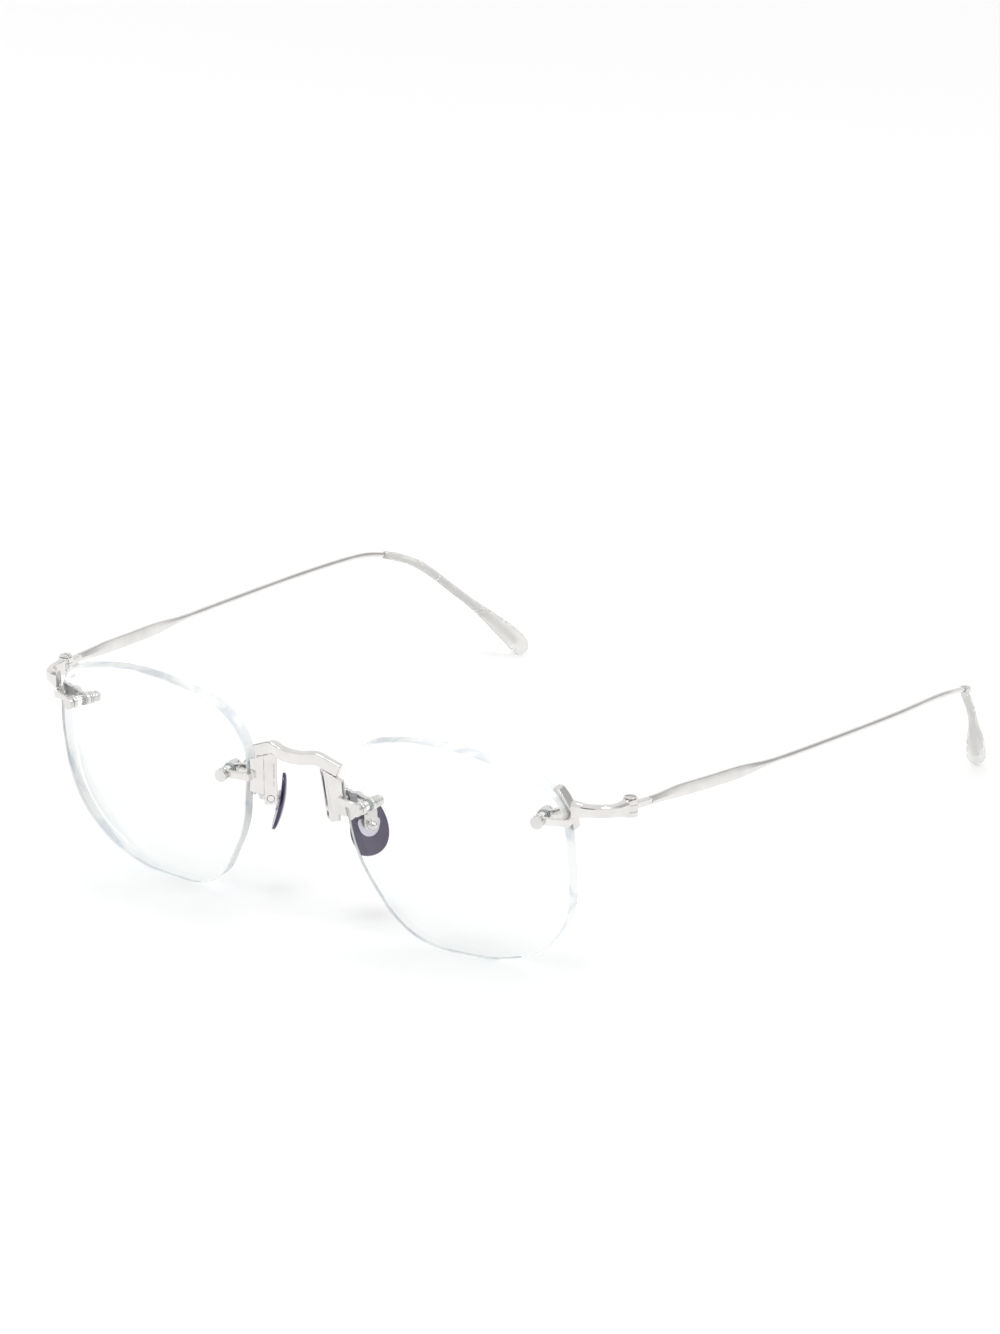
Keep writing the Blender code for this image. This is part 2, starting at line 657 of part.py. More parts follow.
def temple_knuckle():
    """The temple's share of the hinge: the middle knuckle and a short neck."""
    low, high = knuckle_span()
    axis = Matrix.Translation((HINGE_X, HINGE_Y, 0.0))
    start = Vector((HINGE_X, HINGE_Y + BARREL_RADIUS * 0.5, (low + high) / 2))
    butt, beyond = temple_keys()[:2]
    end = butt + (butt - beyond).normalized() * 3 * GAP
    path = smooth_path([start, start.lerp(end, 0.5), end], 2)
    made = sweep("left_temple_hinge", path, lambda share: chamfered(NECK_THICK, KNUCKLE_HEIGHT * 0.96))
    made = combine(made, cylinder("knuckle", BARREL_RADIUS, low, high, axis, 24), "UNION")
    bore = cylinder("bore", PIN_RADIUS + SLACK, low - MM, high + MM, axis)
    return combine(made, bore, "DIFFERENCE")


def temple_path():
    return smooth_path(temple_keys(), 4)


def split_path(first, last):
    """The part of the temple's path between two shares of its points."""
    path = temple_path()
    count = len(path) - 1
    return path[round(first * count) : round(last * count) + 1]


def temple():
    """A flat blade behind the hinge that thins to a round wire, which runs on inside the tip."""
    path = split_path(0.0, WIRE_END)

    def section(share):
        along = (path[round(share * (len(path) - 1))] - path[0]).length
        rise = mix(0.45, 1.0, along / BLADE_RISE)
        fall = 1 - mix(0.0, 1.0, (along - BLADE_FALL) / (BLADE_END - BLADE_FALL))
        height = mix(WIRE_RADIUS, BLADE_HEIGHT / 2, rise * fall)
        thick = mix(WIRE_RADIUS, BLADE_THICK / 2, fall)
        return oval(thick, height, 8)

    return sweep("left_temple", path, section)


def temple_tip():
    """A clear sleeve over the end of the wire, round the bend, that swells to a rounded bulb."""
    path = split_path(TIP_START, 1.0)
    way = path[-1] - path[-2]
    bulb_end = path[-1]
    for turn in (30, 55, 75, 88):
        path.append(bulb_end + way.normalized() * BULB_RADIUS * math.sin(math.radians(turn)))
    lengths = [(point - bulb_end).length for point in path]

    def section(share):
        index = round(share * (len(path) - 1))
        if index > len(path) - 5:
            radius = math.sqrt(max(BULB_RADIUS**2 - lengths[index] ** 2, 0.0))
        else:
            radius = mix(BULB_RADIUS, SLEEVE_RADIUS, lengths[index] / BULB_TAPER)
        return oval(radius, radius, 12)

    made = sweep("left_temple_tip", path, section)
    wire = split_path(TIP_START - SOCKET_LEAD, WIRE_END)
    wire[-1] = wire[-1] + (wire[-1] - wire[-2]).normalized() * GAP * 2
    radius = WIRE_RADIUS + SLACK
    return combine(made, sweep("socket", wire, lambda share: oval(radius, radius, 8)), "DIFFERENCE")


def pad():
    """A thin bowed plate, egg-shaped in outline, with full round edges."""
    bm = bmesh.new()
    bmesh.ops.create_uvsphere(bm, u_segments=24, v_segments=10, radius=1.0)
    for vert in bm.verts:
        x, y, z = vert.co
        along = y * PAD_LENGTH / 2
        across = x * PAD_WIDTH / 2 * (1 - PAD_NARROWING * y)
        bow = (along**2 + across**2) / (2 * PAD_BOW) - PAD_THICK * PAD_SINK
        vert.co = (across, along, math.copysign(abs(z) ** 0.4, z) * PAD_THICK / 2 + bow)
    return place("left_nose_pad", mesh_from(bm, "left_nose_pad"), pad_frame())


def pad_plate():
    """The small plate on the pad's lens side, with the stud that the post's tab turns on."""
    frame = pad_frame()
    outline = [(x * MM, STUD_UP + y * MM) for x, y in PLATE_OUTLINE]
    low = PAD_THICK / 2 - PAD_THICK * PAD_SINK + 3 * GAP
    made = plate("left_pad_plate", outline, low, low + PLATE_THICK, frame)
    stud = frame @ Matrix.Translation((0.0, STUD_UP, 0.0))
    top = TAB_BACK + TAB_THICK + BALL_CLEAR
    return combine(made, cylinder("stud", STUD_RADIUS, low + PLATE_THICK / 2, top, stud), "UNION")


def pad_ball():
    """The polished ball that closes the stud."""
    centre = TAB_BACK + TAB_THICK + BALL_CLEAR + GAP + BALL_RADIUS * BALL_CUT
    frame = pad_frame() @ Matrix.Translation((0.0, STUD_UP, centre))
    made = ball("left_pad_ball", BALL_RADIUS, frame)
    flat = block("flat", (-MM, -MM, -2 * MM), (MM, MM, -BALL_RADIUS * BALL_CUT), frame)
    return combine(made, flat, "DIFFERENCE")


def pad_post():
    """The round post riveted into the pad arm, and the tab at its end with the eye for the stud."""
    frame = pad_frame()
    width = TAB_EYE_RADIUS
    eye = [math.pi + math.pi * i / 10 for i in range(11)]
    outline = [(width * math.cos(t), STUD_UP + width * math.sin(t)) for t in eye]
    outline += [(width, POST_UP + POST_RADIUS), (-width, POST_UP + POST_RADIUS)]
    made = plate("left_pad_post", outline, TAB_BACK, TAB_BACK + TAB_THICK, frame)
    axis = arm_frame() @ Matrix.Rotation(math.pi / 2, 4, "Y")
    reach = (arm_frame().inverted() @ frame @ Vector((-width, POST_UP, TAB_BACK))).x
    post = cylinder("post", POST_RADIUS, ARM_FACE, reach + width / 2, axis)
    made = combine(made, post, "UNION")
    stud = frame @ Matrix.Translation((0.0, STUD_UP, 0.0))
    drill = cylinder("drill", STUD_RADIUS + STUD_PLAY, 0.0, THROUGH, stud)
    return combine(made, drill, "DIFFERENCE")


def pad_arm():
    """The upright bar under the bridge's end, drilled for the post."""
    frame = arm_frame()
    height = frame.translation.z
    low = (ARM_FACE, ARM_BOTTOM - height, -ARM_DEPTH / 2)
    high = (ARM_FACE + ARM_WIDTH, ARM_TOP - height, ARM_DEPTH / 2)
    made = block("left_pad_arm", low, high, frame)
    made.data.transform(Matrix(((1, -ARM_LEAN, 0, 0), (0, 1, 0, 0), (0, 0, 1, 0), (0, 0, 0, 1))))
    bevel = made.modifiers.new("edges", "BEVEL")
    bevel.width = ARM_BEVEL
    bevel.segments = 2
    made = combine(bake(made), above_bridge(), "DIFFERENCE")
    axis = frame @ Matrix.Rotation(math.pi / 2, 4, "Y")
    return combine(made, cylinder("drill", POST_RADIUS + SLACK, -THROUGH, 0.0, axis), "DIFFERENCE")


def bridge_path():
    half = [Vector((x * MM, HINGE_Y + y * MM, z * MM)) for x, y, z in BRIDGE_PATH]
    other = [Vector((-point.x, point.y, point.z)) for point in half[:0:-1]]
    return smooth_path(other + half, BRIDGE_STEPS)


def bridge():
    """The bar between the lenses, a shallow saddle with a peak over each pad arm."""
    return sweep("bridge", bridge_path(), lambda share: chamfered(BRIDGE_DEPTH, BRIDGE_HEIGHT))


def above_bridge():
    """The room above the bridge's underside, drawn out at both ends, for cutting what stands under it."""
    path = bridge_path()
    path.insert(0, path[0] + (path[0] - path[1]).normalized() * ABOVE_BRIDGE)
    path.append(path[-1] + (path[-1] - path[-2]).normalized() * ABOVE_BRIDGE)
    low, high = -BRIDGE_HEIGHT / 2 - GAP, ABOVE_BRIDGE
    outline = [(high, low), (high, high), (-high, high), (-high, low)]
    return sweep("above", path, lambda share: outline)


def finish(obj, slot, materials):
    """Gives the piece its material, and smooth shading between its sharp edges."""
    obj.data.materials.clear()
    obj.data.materials.append(materials[slot])
    obj.data.shade_smooth()
    obj.data.set_sharp_from_angle(angle=SHARP_ANGLE)


def twin(obj):
    """The same piece on the wearer's right."""
    mirror = Matrix.Diagonal((-1.0, 1.0, 1.0, 1.0))
    return place(obj.name.replace("left_", "right_"), obj.data, mirror @ obj.matrix_world)


def left_side():
    """Every piece of the wearer's left side, with its material slot."""
    pieces = [(lens(), "lens")]
    for spot, hole, side, prongs, depth in (
        ("temporal", TEMPORAL_HOLE, 1, TEMPORAL_PRONGS, TEMPORAL_SHOE),
        ("nasal", NASAL_HOLE, -1, NASAL_PRONGS, NASAL_SHOE),
    ):
        pieces.append((lens_screw(spot, hole), "screw_metal"))
        pieces.append((lens_bushing(spot, hole), "bushing"))
        pieces.append((lens_washer(spot, hole), "screw_metal"))
        pieces.append((lens_nut(spot, hole), "screw_metal"))
        pieces.append((clamp(f"left_{spot}_clamp", hole, side, prongs, depth), "frame_metal"))
    pieces.append((endpiece(), "frame_metal"))
    pieces.append((hinge_screw(), "screw_metal"))
    pieces.append((temple_knuckle(), "frame_metal"))
    pieces.append((temple(), "frame_metal"))
    pieces.append((temple_tip(), "clear_tip"))
    pieces.append((pad(), "pad_metal"))
    pieces.append((pad_plate(), "plate_metal"))
    pieces.append((pad_ball(), "screw_metal"))
    pieces.append((pad_post(), "frame_metal"))
    pieces.append((pad_arm(), "frame_metal"))
    return pieces


def pivot(name, origin, names, collection):
    """An empty on a joint's axis that carries the pieces turning about it."""
    empty = bpy.data.objects.new(name, None)
    empty.empty_display_size = 5 * MM
    empty.location = origin
    collection.objects.link(empty)
    bpy.context.view_layer.update()
    for piece in names:
        obj = bpy.data.objects[piece]
        obj.parent = empty
        obj.matrix_parent_inverse = empty.matrix_world.inverted()


def main():
    clear_scene()
    materials = make_materials()
    for obj, slot in left_side():
        finish(obj, slot, materials)
        twin(obj)
    finish(bridge(), "frame_metal", materials)
    collection = bpy.data.collections.new("eyeglasses")
    bpy.context.scene.collection.children.link(collection)
    for obj in list(bpy.context.scene.collection.objects):
        bpy.context.scene.collection.objects.unlink(obj)
        collection.objects.link(obj)
    stud = pad_frame() @ Vector((0.0, STUD_UP, TAB_BACK + TAB_THICK / 2))
    for hand, mirror in (("left", 1.0), ("right", -1.0)):
        hinge = (mirror * HINGE_X, HINGE_Y, (BARREL_BOTTOM + BARREL_TOP) / 2)
        swinging = [f"{hand}_{piece}" for piece in ("temple_hinge", "temple", "temple_tip")]
        pivot(f"{hand}_temple_pivot", hinge, swinging, collection)
        rocking = [f"{hand}_{piece}" for piece in ("nose_pad", "pad_plate", "pad_ball")]
        pivot(f"{hand}_pad_pivot", (mirror * stud.x, stud.y, stud.z), rocking, collection)


main()
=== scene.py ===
"""The finished look of the rimless spectacles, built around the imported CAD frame.

Every CAD node is replaced by a finer piece of the same size in the same place. The wearer's left side is
modelled and mirrored to the right. Metres, +Z up; the front faces -Y and the wearer's left is +X.
A lens, a screw hole and a nose pad each have a working frame: X outward, Y up, Z square to the face.
"""

import math

import bmesh
import bpy
from mathutils import Matrix, Vector


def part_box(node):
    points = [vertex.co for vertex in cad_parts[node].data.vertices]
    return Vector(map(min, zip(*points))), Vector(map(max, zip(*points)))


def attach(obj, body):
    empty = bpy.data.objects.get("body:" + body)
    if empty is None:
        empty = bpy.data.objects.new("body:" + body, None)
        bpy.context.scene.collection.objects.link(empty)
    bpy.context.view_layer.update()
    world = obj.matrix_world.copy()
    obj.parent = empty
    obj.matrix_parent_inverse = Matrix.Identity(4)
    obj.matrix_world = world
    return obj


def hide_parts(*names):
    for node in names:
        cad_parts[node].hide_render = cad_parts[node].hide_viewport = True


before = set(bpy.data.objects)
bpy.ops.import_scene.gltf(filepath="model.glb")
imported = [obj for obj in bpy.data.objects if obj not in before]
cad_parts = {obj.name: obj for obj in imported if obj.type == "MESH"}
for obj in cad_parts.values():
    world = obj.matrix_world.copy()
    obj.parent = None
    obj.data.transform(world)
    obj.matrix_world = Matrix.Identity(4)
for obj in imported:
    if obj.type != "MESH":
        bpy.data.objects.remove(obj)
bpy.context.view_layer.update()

MM = 0.001
GAP = 0.04 * MM  # between pieces that are joined or clamped
SLACK = 0.05 * MM  # about a pin or a shank
THROUGH = 20 * MM  # how far a cutter reaches past what it cuts
DRILL = (-9 * MM, 4 * MM)  # how far a drill goes behind and before the lens's front face

# Hinge axis, found from the screw that stands on it
SCREW_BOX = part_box("left_hinge_screw")
HINGE_X = (SCREW_BOX[0].x + SCREW_BOX[1].x) / 2
HINGE_Y = (SCREW_BOX[0].y + SCREW_BOX[1].y) / 2

# Lens
LENS_CENTRE = Vector((35.3 * MM, HINGE_Y - 13.9 * MM, 20.65 * MM))
LENS_WRAP = math.radians(4.6)
LENS_TILT = math.radians(8.9)
LENS_CURVE = 96.5 * MM
LENS_BACK_CURVE = 75.4 * MM
LENS_THICK = 1.7 * MM
DECENTRE = 3.5 * MM  # from the outline's middle to the optical axis, towards the nose
LENS_RINGS = 26
EDGE_POINTS = 260
EDGE_CHAMFER = 0.14 * MM
# Corners of the outline: across, up and rounding, in millimetres
LENS_CORNERS = (
    (23.0, 16.5, 9.0),
    (-2.0, 23.8, 46.0),
    (-25.5, 16.0, 11.8),
    (-22.0, -5.5, 22.0),
    (-12.5, -21.5, 14.0),
    (5.5, -21.0, 14.0),
    (23.0, -16.5, 18.0),
    (24.0, 4.0, 40.5),
)

# Screw holes through the lens, and the hardware stacked on them
TEMPORAL_HOLE = (18.8 * MM, 11.0 * MM)
NASAL_HOLE = (-19.3 * MM, 5.7 * MM)
HOLE_RADIUS = 0.90 * MM
FACE_GAP = 0.04 * MM
REAR_GAP = 0.22 * MM
SHANK_RADIUS = 0.58 * MM
HEAD_RADIUS = 1.22 * MM
HEAD_HEIGHT = 1.01 * MM
HEAD_NECK = 0.22  # share of the head's height that is narrowed, next to the strap
HEAD_NARROW = 0.9
HEAD_STEP = 0.05 * MM
SHANK_IN_NUT = 0.60 * MM  # from the shank's end to the nut's far end
FLANGE_RADIUS = 1.20 * MM
FLANGE_THICK = 0.30 * MM
WASHER_RADIUS = 1.20 * MM
WASHER_THICK = 0.35 * MM
NUT_RADIUS = 1.15 * MM
NUT_LENGTH = 1.95 * MM
# The nut from its mouth to the bead before its dome: shares of its radius and of its length
NUT_TURNS = ((1.0, 0.0), (1.0, 0.24), (0.78, 0.32), (0.78, 0.50), (0.92, 0.56))
NUT_DOME = 0.36  # share of its length
NUT_FLOOR = 0.55 * MM  # from its far end to the bottom of its bore

# Clamps
SHOE_THICK = 0.80 * MM
TEMPORAL_SHOE = (0.20 * MM, 1.90 * MM)  # how far the shoe reaches to the front and back of the edge's middle
NASAL_SHOE = (0.40 * MM, 1.90 * MM)
TEMPORAL_PRONGS = (2.4 * MM, 5.4 * MM)  # how far the shoe runs below and above the hole's height
NASAL_PRONGS = (4.6 * MM, 4.0 * MM)
BACK_THICK = 1.10 * MM
STRAP_THICK = 0.75 * MM
STRAP_HEIGHT = 1.50 * MM
EYE_RADIUS = 1.25 * MM
EYE_SHARE = 0.8  # of the eye's radius, past which a bar is too tall to start on its round
TALL_START = 0.55  # share of the way to the edge where such a bar starts
STRAP_WAIST = 0.12
REAR_STRAP_HEIGHT = 3.00 * MM
REAR_STRAP_WAIST = 0.15
DOME_RADIUS = 1.55 * MM
DOME_HEIGHT = 0.72 * MM
DOME_IN = 2.10 * MM  # from the end of the rear strap

# Hinge
BARREL_RADIUS = 1.42 * MM
BARREL_BOTTOM = 31.80 * MM
BARREL_TOP = 35.10 * MM
KNUCKLE_HEIGHT = 1.30 * MM
PIN_RADIUS = 0.60 * MM
PIN_HEAD_RADIUS = 1.10 * MM
PIN_HEAD_HEIGHT = 0.40 * MM
PIN_SLOT_WIDTH = 0.30 * MM
PIN_SLOT_TURN = math.radians(20.0)
NECK_THICK = 1.30 * MM
# Middle line of the endpiece, from the hinge's foot, in millimetres
ENDPIECE_PATH = (
    (-6.2, -9.5, 34.4),
    (-4.2, -8.9, 34.5),
    (-2.0, -7.2, 34.3),
    (-0.6, -4.6, 33.9),
    (-0.1, -2.0, 33.6),
    (0.0, -0.4, 33.45),
)
BAR_THICK = 1.50 * MM
BAR_HEIGHT = 2.20 * MM
BAR_ROOT_HEIGHT = 3.30 * MM
BAR_ROOT = 0.3  # share of its length over which its root tapers
BAR_END = 0.6  # share of its length where it begins to swell to the barrel

# Temple: its middle line, in millimetres from the hinge's foot
TEMPLE_PATH = (
    (0.9, 5.0, 33.4),
    (1.4, 13.0, 32.9),
    (2.4, 25.0, 32.0),
    (3.8, 43.0, 30.9),
    (4.7, 62.0, 29.9),
    (5.2, 80.0, 29.0),
    (4.9, 95.0, 28.2),
    (4.6, 102.5, 27.2),
    (2.9, 108.7, 25.4),
    (-0.3, 113.3, 22.7),
    (-3.1, 120.2, 16.4),
    (-6.6, 127.3, 9.4),
    (-9.2, 132.2, 4.0),
    (-9.9, 133.6, 2.0),
)
PATH_STEPS = 16
TIP_START = 0.577  # share of the middle line, as the next two are
SOCKET_LEAD = 0.0385
WIRE_END = 0.94
WIRE_RADIUS = 0.50 * MM
BLADE_HEIGHT = 2.40 * MM
BLADE_THICK = 1.30 * MM
BLADE_RISE = 12.0 * MM
BLADE_FALL = 21.0 * MM
BLADE_END = 40.0 * MM
BLADE_ROOT = 0.45  # share of its full height at the hinge
SLEEVE_RADIUS = 0.85 * MM
BULB_RADIUS = 2.0 * MM
BULB_TAPER = 18.0 * MM
BULB_RINGS = 16
MOUTH_ROUND = (0.22 * MM, 0.7 * MM)  # depth and length of the rounding at the sleeve's mouth

# Bridge and pad arms
BRIDGE_HEIGHT = 2.40 * MM
BRIDGE_DEPTH = 1.70 * MM
ARM_BOTTOM = 21.60 * MM
ARM_TOP = 33.20 * MM  # before the arm is cut to the bridge's underside
ARM_WIDTH = 2.00 * MM
ARM_DEPTH = 2.40 * MM
GROOVE_DEPTH = 0.25 * MM  # of the fine groove down the arm's front
GROOVE_SPAN = (1.6 * MM, 7.6 * MM)  # its ends, over the post
GROOVE_PLACE = (-0.78 * MM, -0.56 * MM)  # its sides, from the arm's middle
ARM_LEAN = 0.14  # how far forward the arm leans for each unit of height over the post
ARM_FACE = -8.40 * MM  # front of the arm, along the post from the middle of the pad
# Web between the arm and the nasal clamp: corners back from the arm's front and out from its side, in
# millimetres
LUG_OUTLINE = ((0.30, 0.0), (1.80, 0.0), (3.95, 2.26), (2.74, 3.14))
LUG_BOTTOM = 23.4 * MM
LUG_TOP = 32.4 * MM
# Middle line of half the bridge: out from the middle plane, back from the hinge axis, and up, in millimetres
BRIDGE_PATH = (
    (0.0, -14.75, 33.35),
    (2.4, -14.50, 33.45),
    (5.0, -13.75, 33.75),
    (7.5, -13.10, 32.80),
    (9.6, -12.60, 31.90),
)
ABOVE_BRIDGE = 5.0 * MM

# Nose pads
PAD_CENTRE = Vector((10.3 * MM, HINGE_Y - 4.7 * MM, 19.25 * MM))
PAD_SPLAY = math.radians(36.0)
PAD_LEAN = math.radians(11.5)
PAD_LENGTH = 11.2 * MM
PAD_WIDTH = 7.4 * MM
PAD_THICK = 1.10 * MM
PAD_BOW = 22.0 * MM
PAD_NARROWING = 0.20
PAD_SINK = 0.2  # share of the pad's thickness that its middle lies below the frame's origin
PAD_SQUARE = 0.4  # the less, the squarer the pad's edge
STUD_UP = 0.60 * MM
STUD_RADIUS = 0.50 * MM
BALL_RADIUS = 0.95 * MM
BALL_CUT = 0.8  # share of its radius where it is cut flat towards the tab
BALL_CLEAR = 0.15 * MM
STUD_PLAY = 0.10 * MM
PLATE_OUTLINE = (
    (1.9, 1.0), (2.1, 0.2), (1.6, -1.6), (0.6, -2.5), (-0.6, -2.5), (-1.6, -1.6), (-2.1, 0.2), (-1.9, 1.0),
)  # fmt: skip
PLATE_THICK = 0.40 * MM
TAB_BACK = 2.00 * MM
TAB_THICK = 0.55 * MM
TAB_EYE_RADIUS = 1.20 * MM
POST_RADIUS = 0.65 * MM
POST_UP = 3.20 * MM

# Finish of the meshes
VOXEL = 0.10 * MM  # grid that a blended metal piece is skinned on
SOFTEN = 6  # smoothing passes over it
ROUND = 96  # sides of a turned piece
MERGE = 1e-7  # points nearer than this are one
SHARP = math.radians(38.0)

# Studio
AZIMUTH = math.radians(36.06)  # of the camera, from straight in front towards the wearer's left
ELEVATION = math.radians(19.30)
DISTANCE = 1250.0 * MM
AIM = Vector((16.4 * MM, -31.8 * MM, 42.0 * MM))
FOCAL = 241.0
SENSOR = 36.0
FLOOR_REACH = 6.0
FLOOR_TONES = ((0.96, 0.96, 0.96), (0.98, 0.98, 0.98))
TENT_WHITE = 0.90
# Darker openings in the tent: azimuth, elevation, inner and outer angle in degrees, brightness
DARK_OPENINGS = (
    (36.0, 20.0, 10.0, 24.0, 0.10),
    (140.0, 22.0, 6.0, 26.0, 0.50),
    (-70.0, 8.0, 5.0, 20.0, 0.45),
)
# Soft boxes: name, azimuth, elevation, distance, size in metres, power
LAMPS = (
    ("top_box", 20.0, 75.0, 1.4, 0.45, 3.0),
    ("left_box", -75.0, 38.0, 1.6, 0.35, 2.2),
    ("right_box", 105.0, 42.0, 1.6, 0.35, 2.2),
)


# --- Meshes


def place(name, data, matrix):
    obj = bpy.data.objects.new(name, data)
    bpy.context.scene.collection.objects.link(obj)
    obj.matrix_world = matrix
    return obj


def mesh_from(bm, name):
    bmesh.ops.recalc_face_normals(bm, faces=bm.faces)
    mesh = bpy.data.meshes.new(name)
    bm.to_mesh(mesh)
    bm.free()
    return mesh


def bake(obj):
    """The plain mesh that the object evaluates to, in world coordinates."""
    bpy.context.view_layer.update()
    name, matrix = obj.name, obj.matrix_world.copy()
    graph = bpy.context.evaluated_depsgraph_get()
    mesh = bpy.data.meshes.new_from_object(
        obj.evaluated_get(graph), preserve_all_data_layers=True, depsgraph=graph
    )
    bpy.data.objects.remove(obj, do_unlink=True)
    mesh.transform(matrix)
    bm = bmesh.new()
    bm.from_mesh(mesh)
    bmesh.ops.remove_doubles(bm, verts=bm.verts, dist=MERGE)
    bmesh.ops.recalc_face_normals(bm, faces=bm.faces)
    bm.to_mesh(mesh)
    bm.free()
    mesh.name = name
    return place(name, mesh, Matrix())


def combine(target, tool, operation):
    modifier = target.modifiers.new(operation, "BOOLEAN")
    modifier.operation = operation
    modifier.solver = "EXACT"
    modifier.object = tool
    result = bake(target)
    bpy.data.objects.remove(tool, do_unlink=True)
    return result


def blend_metal(obj, voxel=VOXEL, soften=SOFTEN):
    """Skins the piece again on a fine grid and smooths it, which rounds its edges and inner corners."""
    remesh = obj.modifiers.new("skin", "REMESH")
    remesh.mode = "VOXEL"
    remesh.voxel_size = voxel
    smooth = obj.modifiers.new("soften", "SMOOTH")
    smooth.factor = 0.5
    smooth.iterations = soften
    return bake(obj)


def fillet(profile, radius, steps=4):
    """The profile with its inner corners rounded by short arcs."""
    points = [Vector(point) for point in profile]
    made = [points[0]]
    for before, corner, after in zip(points, points[1:], points[2:]):
        a, b = before - corner, after - corner
        reach = min(radius, a.length * 0.45, b.length * 0.45)
        start, end = corner + a.normalized() * reach, corner + b.normalized() * reach
        for i in range(steps + 1):
            t = i / steps
            made.append((1 - t) ** 2 * start + 2 * t * (1 - t) * corner + t**2 * end)
    return [tuple(point) for point in made + [points[-1]]]


def lathe(name, profile, matrix, closed=False, steps=ROUND, rounding=0.07 * MM):
    """A piece turned about the frame's Z. Each point keeps its turning radius for the finish."""
    if closed:
        profile = fillet([*profile, profile[0]], rounding)[:-1]
    else:
        profile = fillet(profile, rounding)
    bm = bmesh.new()
    columns = []
    for i in range(steps):
        turn = 2 * math.pi * i / steps
        across, along = math.cos(turn), math.sin(turn)
        spots = [(radius * across, radius * along, height) for radius, height in profile]
        columns.append([bm.verts.new(spot) for spot in spots])
    count = len(profile)
    pairs = [(j, j + 1) for j in range(count - 1)] + ([(count - 1, 0)] if closed else [])
    for i in range(steps):
        left, right = columns[i], columns[(i + 1) % steps]
        for j, k in pairs:
            if profile[j][0] + profile[k][0] > 0:
                bm.faces.new((left[j], left[k], right[k], right[j]))
    bmesh.ops.remove_doubles(bm, verts=bm.verts, dist=1e-8)
    bmesh.ops.dissolve_degenerate(bm, edges=bm.edges, dist=1e-8)
    obj = place(name, mesh_from(bm, name), Matrix())
    ring = obj.data.attributes.new("turned", "FLOAT", "POINT")
    ring.data.foreach_set("value", [math.hypot(v.co.x, v.co.y) / MM for v in obj.data.vertices])
    obj.data.transform(matrix)
    if matrix.determinant() < 0:
        obj.data.flip_normals()
    return obj


def plate(name, outline, low, high, matrix, lean=Matrix()):
    """A flat outline in the frame's XY, from low to high along its Z, and leant before it is placed."""
    bm = bmesh.new()
    bottom = [bm.verts.new((x, y, low)) for x, y in outline]
    top = [bm.verts.new((x, y, high)) for x, y in outline]
    bm.faces.new(bottom)
    bm.faces.new(top)
    for i in range(len(outline)):
        j = (i + 1) % len(outline)
        bm.faces.new((bottom[i], bottom[j], top[j], top[i]))
    obj = place(name, mesh_from(bm, name), Matrix())
    obj.data.transform(matrix @ lean)
    return obj


def block(name, low, high, matrix, lean=Matrix()):
    (x0, y0, z0), (x1, y1, z1) = low, high
    return plate(name, [(x0, y0), (x1, y0), (x1, y1), (x0, y1)], z0, z1, matrix, lean)


def cylinder(name, radius, low, high, matrix, sides=48):
    turns = [2 * math.pi * i / sides for i in range(sides)]
    return plate(name, [(radius * math.cos(t), radius * math.sin(t)) for t in turns], low, high, matrix)


def smooth_path(keys, steps):
    """Points of a Catmull-Rom curve through the keys, with this many steps between neighbours."""
    keys = [Vector(key) for key in keys]
    ends = [2 * keys[0] - keys[1]] + keys + [2 * keys[-1] - keys[-2]]
    points = []
    for a, b, c, d in zip(ends, ends[1:], ends[2:], ends[3:]):
        for step in range(steps):
            t = step / steps
            points.append(
                0.5 * (2 * b + (c - a) * t + (2 * a - 5 * b + 4 * c - d) * t**2)
                + 0.5 * (3 * b - a - 3 * c + d) * t**3
            )
    return points + [keys[-1]]


def sweep(name, path, section):
    """A loft along the path. section(share of the way) gives the outline as (sideways, up) points."""
    bm = bmesh.new()
    rings = []
    for i, point in enumerate(path):
        along = (path[min(i + 1, len(path) - 1)] - path[max(i - 1, 0)]).normalized()
        side = along.cross(Vector((0.0, 0.0, 1.0))).normalized()
        up = side.cross(along)
        outline = section(i / (len(path) - 1))
        rings.append([bm.verts.new(point + side * u + up * v) for u, v in outline])
    for ring, following in zip(rings, rings[1:]):
        for j in range(len(ring)):
            k = (j + 1) % len(ring)
            bm.faces.new((ring[j], ring[k], following[k], following[j]))
    bm.faces.new(rings[0])
    bm.faces.new(rings[-1])
    return place(name, mesh_from(bm, name), Matrix())


def softened(corners, share=0.22, steps=4):
    """A closed outline with each corner rounded."""
    made = []
    count = len(corners)
    for i in range(count):
        corner = Vector(corners[i])
        a, b = Vector(corners[i - 1]) - corner, Vector(corners[(i + 1) % count]) - corner
        start, end = corner + a * share, corner + b * share
        for step in range(steps + 1):
            t = step / steps
            made.append(tuple((1 - t) ** 2 * start + 2 * t * (1 - t) * corner + t**2 * end))
    return made


def oval(half_width, half_height, sides=40):
    turns = [2 * math.pi * i / sides for i in range(sides)]
    return [(half_width * math.cos(turn), half_height * math.sin(turn)) for turn in turns]


def mix(low, high, share):
    """From low to high with an easy start and finish, as the share goes from 0 to 1."""
    share = min(max(share, 0.0), 1.0)
    return low + (high - low) * share * share * (3 - 2 * share)


# --- Working frames


def frame_of(origin, x, y, z):
    return Matrix.Translation(origin) @ Matrix((x, y, z)).transposed().to_4x4()


def lens_frame():
    x = Vector((math.cos(LENS_WRAP), math.sin(LENS_WRAP), 0.0))
    flat = math.cos(LENS_TILT)
    front = Vector((flat * math.sin(LENS_WRAP), -flat * math.cos(LENS_WRAP), -math.sin(LENS_TILT)))
    return frame_of(LENS_CENTRE, x, front.cross(x), front)


